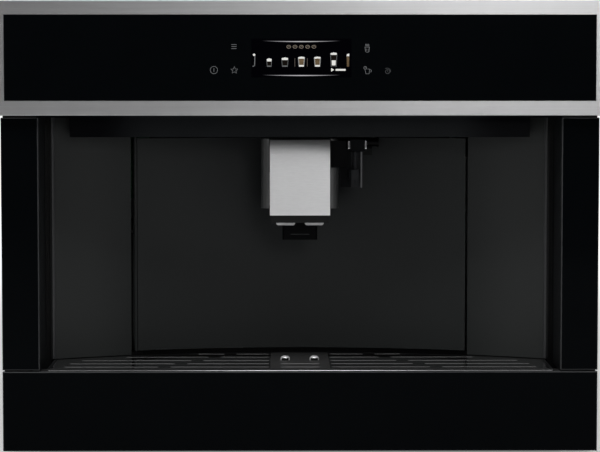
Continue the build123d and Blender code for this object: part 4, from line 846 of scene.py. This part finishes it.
# ---------------------------------------------------------------- spout outlets and release buttons
# Small chrome-plated mouldings: the two outlet strips under the cover, and the two buttons that free the
# hot-water spout from its nozzle.
chrome = Finish("polished_chrome", Metallic=1.0)
chrome.grained((200, 200, 200), ((0.78, 0.78, 0.79, 1), (0.88, 0.88, 0.89, 1)), (0.08, 0.2))
dress(chrome, "spout_outlets", "release_button_left", "release_button_right")

# ---------------------------------------------------------------- hot-water spout
# One moulding that is pushed on the steam nozzle: a black head, and below it a shield plate. The plate's
# right half is painted paler, painted light on a facet that faces the lamps, and the front of the rib along
# its right edge is painted pale, a painted highlight.
hot_deep, hot_pale = (0.0034, 0.0040, 0.0048, 1), (0.0056, 0.0062, 0.0070, 1)
shield_painted_lit, rib_painted_highlight = (0.0270, 0.0280, 0.0300, 1), (0.15, 0.153, 0.158, 1)
shield_left, shield_top = 0.0525, 0.3025
rib_left, rib_right, rib_turn = 0.0618, 0.0636, 0.8
hot_black = Finish("hot_water_black", Specular_IOR_Level=0.03)
hot_skin = hot_black.noise((600, 600, 600), detail=2)
under_head = hot_black.along("Z") < shield_top
# Painted light: the plate's right half is painted paler, and the rib's front carries a painted highlight.
shield = (hot_black.along("X") > shield_left) * under_head
on_rib = (hot_black.along("X") < rib_right) * (hot_black.along("X") > rib_left)
rib_front = on_rib * under_head * (hot_black.facing("Y") > rib_turn)
shield_tone = hot_black.mix(shield, hot_black.mix(hot_skin, hot_deep, hot_pale), shield_painted_lit)
hot_black.look(Base_Color=hot_black.mix(rib_front, shield_tone, rib_painted_highlight),
               Roughness=hot_black.between(hot_skin, 0.3, 0.44))
dress(hot_black, "hot_water_spout")

# ---------------------------------------------------------------- spout cover
# Stainless steel, folded back at its top and snapped over the spout's body. It is brushed crosswise, and its
# top is blasted duller, from dull_from to dull_to below its upper edge.
dull_from, dull_to = 0.034, 0.008
cover_edge_round = 0.0004
cover_steel = Finish("spout_cover_steel")
fine = cover_steel.noise((60, 2600, 1700), detail=5, rough=0.6)
tick = cover_steel.noise((240, 900, 1500), detail=2)
brushed = fine * 0.6 + tick * 0.4
cover_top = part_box("spout_cover")[1].z
to_top = cover_steel.rise(cover_steel.along("Z"), cover_top - dull_from, cover_top - dull_to)
cover_steel.look(Base_Color=cover_steel.mix(brushed, (0.76, 0.76, 0.765, 1), (0.97, 0.97, 0.975, 1)),
                 Metallic=1 - to_top * 0.16,
                 Roughness=cover_steel.between(to_top, cover_steel.between(brushed, 0.30, 0.46), 0.66),
                 Normal=cover_steel.bump(brushed, 0.00003))
dress(cover_steel, "spout_cover")
soften("spout_cover", cover_edge_round)

# ---------------------------------------------------------------- water tank
# A blow-moulded tank of clear tinted plastic that slides into a black dock from the left. Its inner end is
# smoked dark. Level lines are printed on its outer wall: long at the ends of the range, short between.
tank_deep, tank_pale, tank_smoked = (0.55, 0.62, 0.66, 1), (0.66, 0.72, 0.75, 1), (0.006, 0.0065, 0.007, 1)
smoked_wide, smoked_deep = 0.022, 0.003
level_count, level_pitch, level_foot, level_inset = 7, 0.019, 0.016, 0.012
level_long, level_short, level_half_thick = 0.022, 0.012, 0.0006
tank_clear = Finish("tank_plastic", Transmission_Weight=0.75, IOR=1.45)
tank_cloud = tank_clear.noise((40, 40, 40))
tank_low, tank_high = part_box("water_tank")
inner_end = tank_clear.along("X") > tank_high.x - smoked_wide
front_wall = tank_clear.along("Y") < tank_low.y + smoked_deep
tank_tint = tank_clear.mix(tank_cloud, tank_deep, tank_pale)
tank_clear.look(Base_Color=tank_clear.mix(inner_end * front_wall, tank_tint, tank_smoked),
                Roughness=tank_clear.between(tank_cloud, 0.10, 0.2))
dress(tank_clear, "water_tank")


def ink(name, tone, worn_tone):
    """Ink that was printed on a part, a little uneven."""
    return Finish(name).grained((900, 900, 900), (tone, worn_tone), (0.45, 0.6), detail=2)


ink_white = ink("white_ink", (0.74, 0.74, 0.73, 1), (0.60, 0.60, 0.59, 1))
ink_proud = 0.00005


def face(bm, corners):
    bm.faces.new([bm.verts.new(corner) for corner in corners])


def level_lines(bm):
    x = tank_low.x - ink_proud
    y = tank_low.y + level_inset
    for i in range(level_count):
        z = tank_low.z + level_foot + level_pitch * i
        end = y + (level_long if i in (0, level_count - 1) else level_short)
        face(bm, ((x, end, z - level_half_thick), (x, y, z - level_half_thick), (x, y, z + level_half_thick),
                  (x, end, z + level_half_thick)))


mesh_piece("tank_level_lines", level_lines, ink_white, "water_tank", (-1, 0, 0))

# ---------------------------------------------------------------- grind knob's pointer and scale
# The knob on the top cover sets the grinder. A white line is printed on it, and round it on the cover are
# dots that grow from fine to coarse.
knob_low, knob_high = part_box("grind_knob")
knob_centre = (knob_low + knob_high) / 2
lid_gap = 0.0003
scale_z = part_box("bean_lid")[0].z - lid_gap + ink_proud
pointer_half, pointer_from, pointer_to = 0.0006, 0.0040, 0.0125
scale_dots, scale_radius, scale_turn = 9, 0.0195, 240
smallest_dot, dot_growth, dot_corners = 0.0006, 0.00012, 12
ink_black = ink("black_ink", (0.016, 0.016, 0.017, 1), (0.030, 0.030, 0.031, 1))


def knob_pointer(bm):
    left, right = knob_centre.x - pointer_half, knob_centre.x + pointer_half
    near, far_end = knob_centre.y - pointer_to, knob_centre.y - pointer_from
    z = knob_high.z + ink_proud
    face(bm, ((left, near, z), (right, near, z), (right, far_end, z), (left, far_end, z)))


def grind_scale(bm):
    for i in range(scale_dots):
        turn = math.radians(-90 - scale_turn / 2 + scale_turn * i / (scale_dots - 1))
        size = smallest_dot + dot_growth * i
        x, y = knob_centre.x + scale_radius * math.cos(turn), knob_centre.y + scale_radius * math.sin(turn)
        rim = [math.radians(360 * k / dot_corners) for k in range(dot_corners)]
        face(bm, [(x + size * math.cos(a), y + size * math.sin(a), scale_z) for a in rim])


mesh_piece("knob_pointer", knob_pointer, ink_white, "grind_knob", (0, 0, 1))
mesh_piece("grind_scale", grind_scale, ink_black, "machine", (0, 0, 1))

# ---------------------------------------------------------------- data plate
# A satin metal foil that is glued to the right side panel, near its upper front corner. It is left blank but
# for the ruled lines of its table.
side_low, side_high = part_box("side_panel_right")
plate_y, plate_z = side_low.y + 0.075, side_high.z - 0.045
plate_wide, plate_high, plate_round, corner_steps = 0.078, 0.042, 0.003, 4
rule_count, rule_pitch, rule_inset, rule_half_thick = 5, 0.0075, 0.004, 0.0002
rules_half_high = rule_pitch * (rule_count - 1) / 2
foil = Finish("label_foil", Metallic=0.6)
foil.grained((40, 900, 900), ((0.60, 0.60, 0.61, 1), (0.72, 0.72, 0.73, 1)), (0.35, 0.5))


def data_plate(bm):
    corners = []
    half_y, half_z = plate_wide / 2 - plate_round, plate_high / 2 - plate_round
    for side_y, side_z, start in ((1, 1, 0), (-1, 1, 90), (-1, -1, 180), (1, -1, 270)):
        for k in range(corner_steps + 1):
            turn = math.radians(start + 90 * k / corner_steps)
            corners.append((side_high.x + ink_proud, plate_y + side_y * half_y + plate_round * math.cos(turn),
                            plate_z + side_z * half_z + plate_round * math.sin(turn)))
    face(bm, corners)


def rule(bm, y0, z0, y1, z1):
    x = side_high.x + 2 * ink_proud
    face(bm, ((x, y0, z0), (x, y1, z0), (x, y1, z1), (x, y0, z1)))


def plate_rules(bm):
    left, right = plate_y - plate_wide / 2 + rule_inset, plate_y + plate_wide / 2 - rule_inset
    foot = plate_z - rules_half_high
    for k in range(rule_count):
        z = foot + rule_pitch * k
        rule(bm, left, z - rule_half_thick, right, z + rule_half_thick)
    rule(bm, plate_y - rule_half_thick, foot, plate_y + rule_half_thick, plate_z + rules_half_high)


mesh_piece("data_plate", data_plate, foil, "machine", (1, 0, 0))
mesh_piece("data_plate_rules", plate_rules, ink_black, "machine", (1, 0, 0))

# ---------------------------------------------------------------- bean hopper and its lid
# Moulded in smoked plastic. The hopper sits on the grinder, and its lid is hinged at the back of the top
# cover's opening.
hopper_smoke = Finish("smoked_plastic", Transmission_Weight=0.25, IOR=1.45)
hopper_smoke.grained((50, 50, 50), ((0.060, 0.056, 0.052, 1), (0.085, 0.080, 0.074, 1)), (0.08, 0.18))
dress(hopper_smoke, "bean_hopper", "bean_lid")

# ---------------------------------------------------------------- heaters, pump and burr
# The two heaters are sand-blasted aluminium castings with steel tubes in them, and the pump has a brass body.
# Both are screwed to the component deck. The burr is ground from hardened steel and turns in the grinder.
cast_alloy = Finish("cast_alloy", Metallic=0.9)
cast_alloy.grained((500, 500, 500), ((0.46, 0.46, 0.47, 1), (0.62, 0.62, 0.63, 1)), (0.42, 0.62), 0.00015)
dress(cast_alloy, "thermoblock", "steam_boiler")

pump_brass = Finish("pump_brass", Metallic=1.0)
pump_brass.grained((70, 70, 70), ((0.42, 0.31, 0.13, 1), (0.66, 0.52, 0.26, 1)), (0.28, 0.46))
dress(pump_brass, "pump")

burr_steel = Finish("ground_burr_steel", Metallic=1.0)
burr_steel.grained((900, 900, 120), ((0.5, 0.5, 0.51, 1), (0.7, 0.7, 0.71, 1)), (0.18, 0.34))
dress(burr_steel, "grinder_burr")
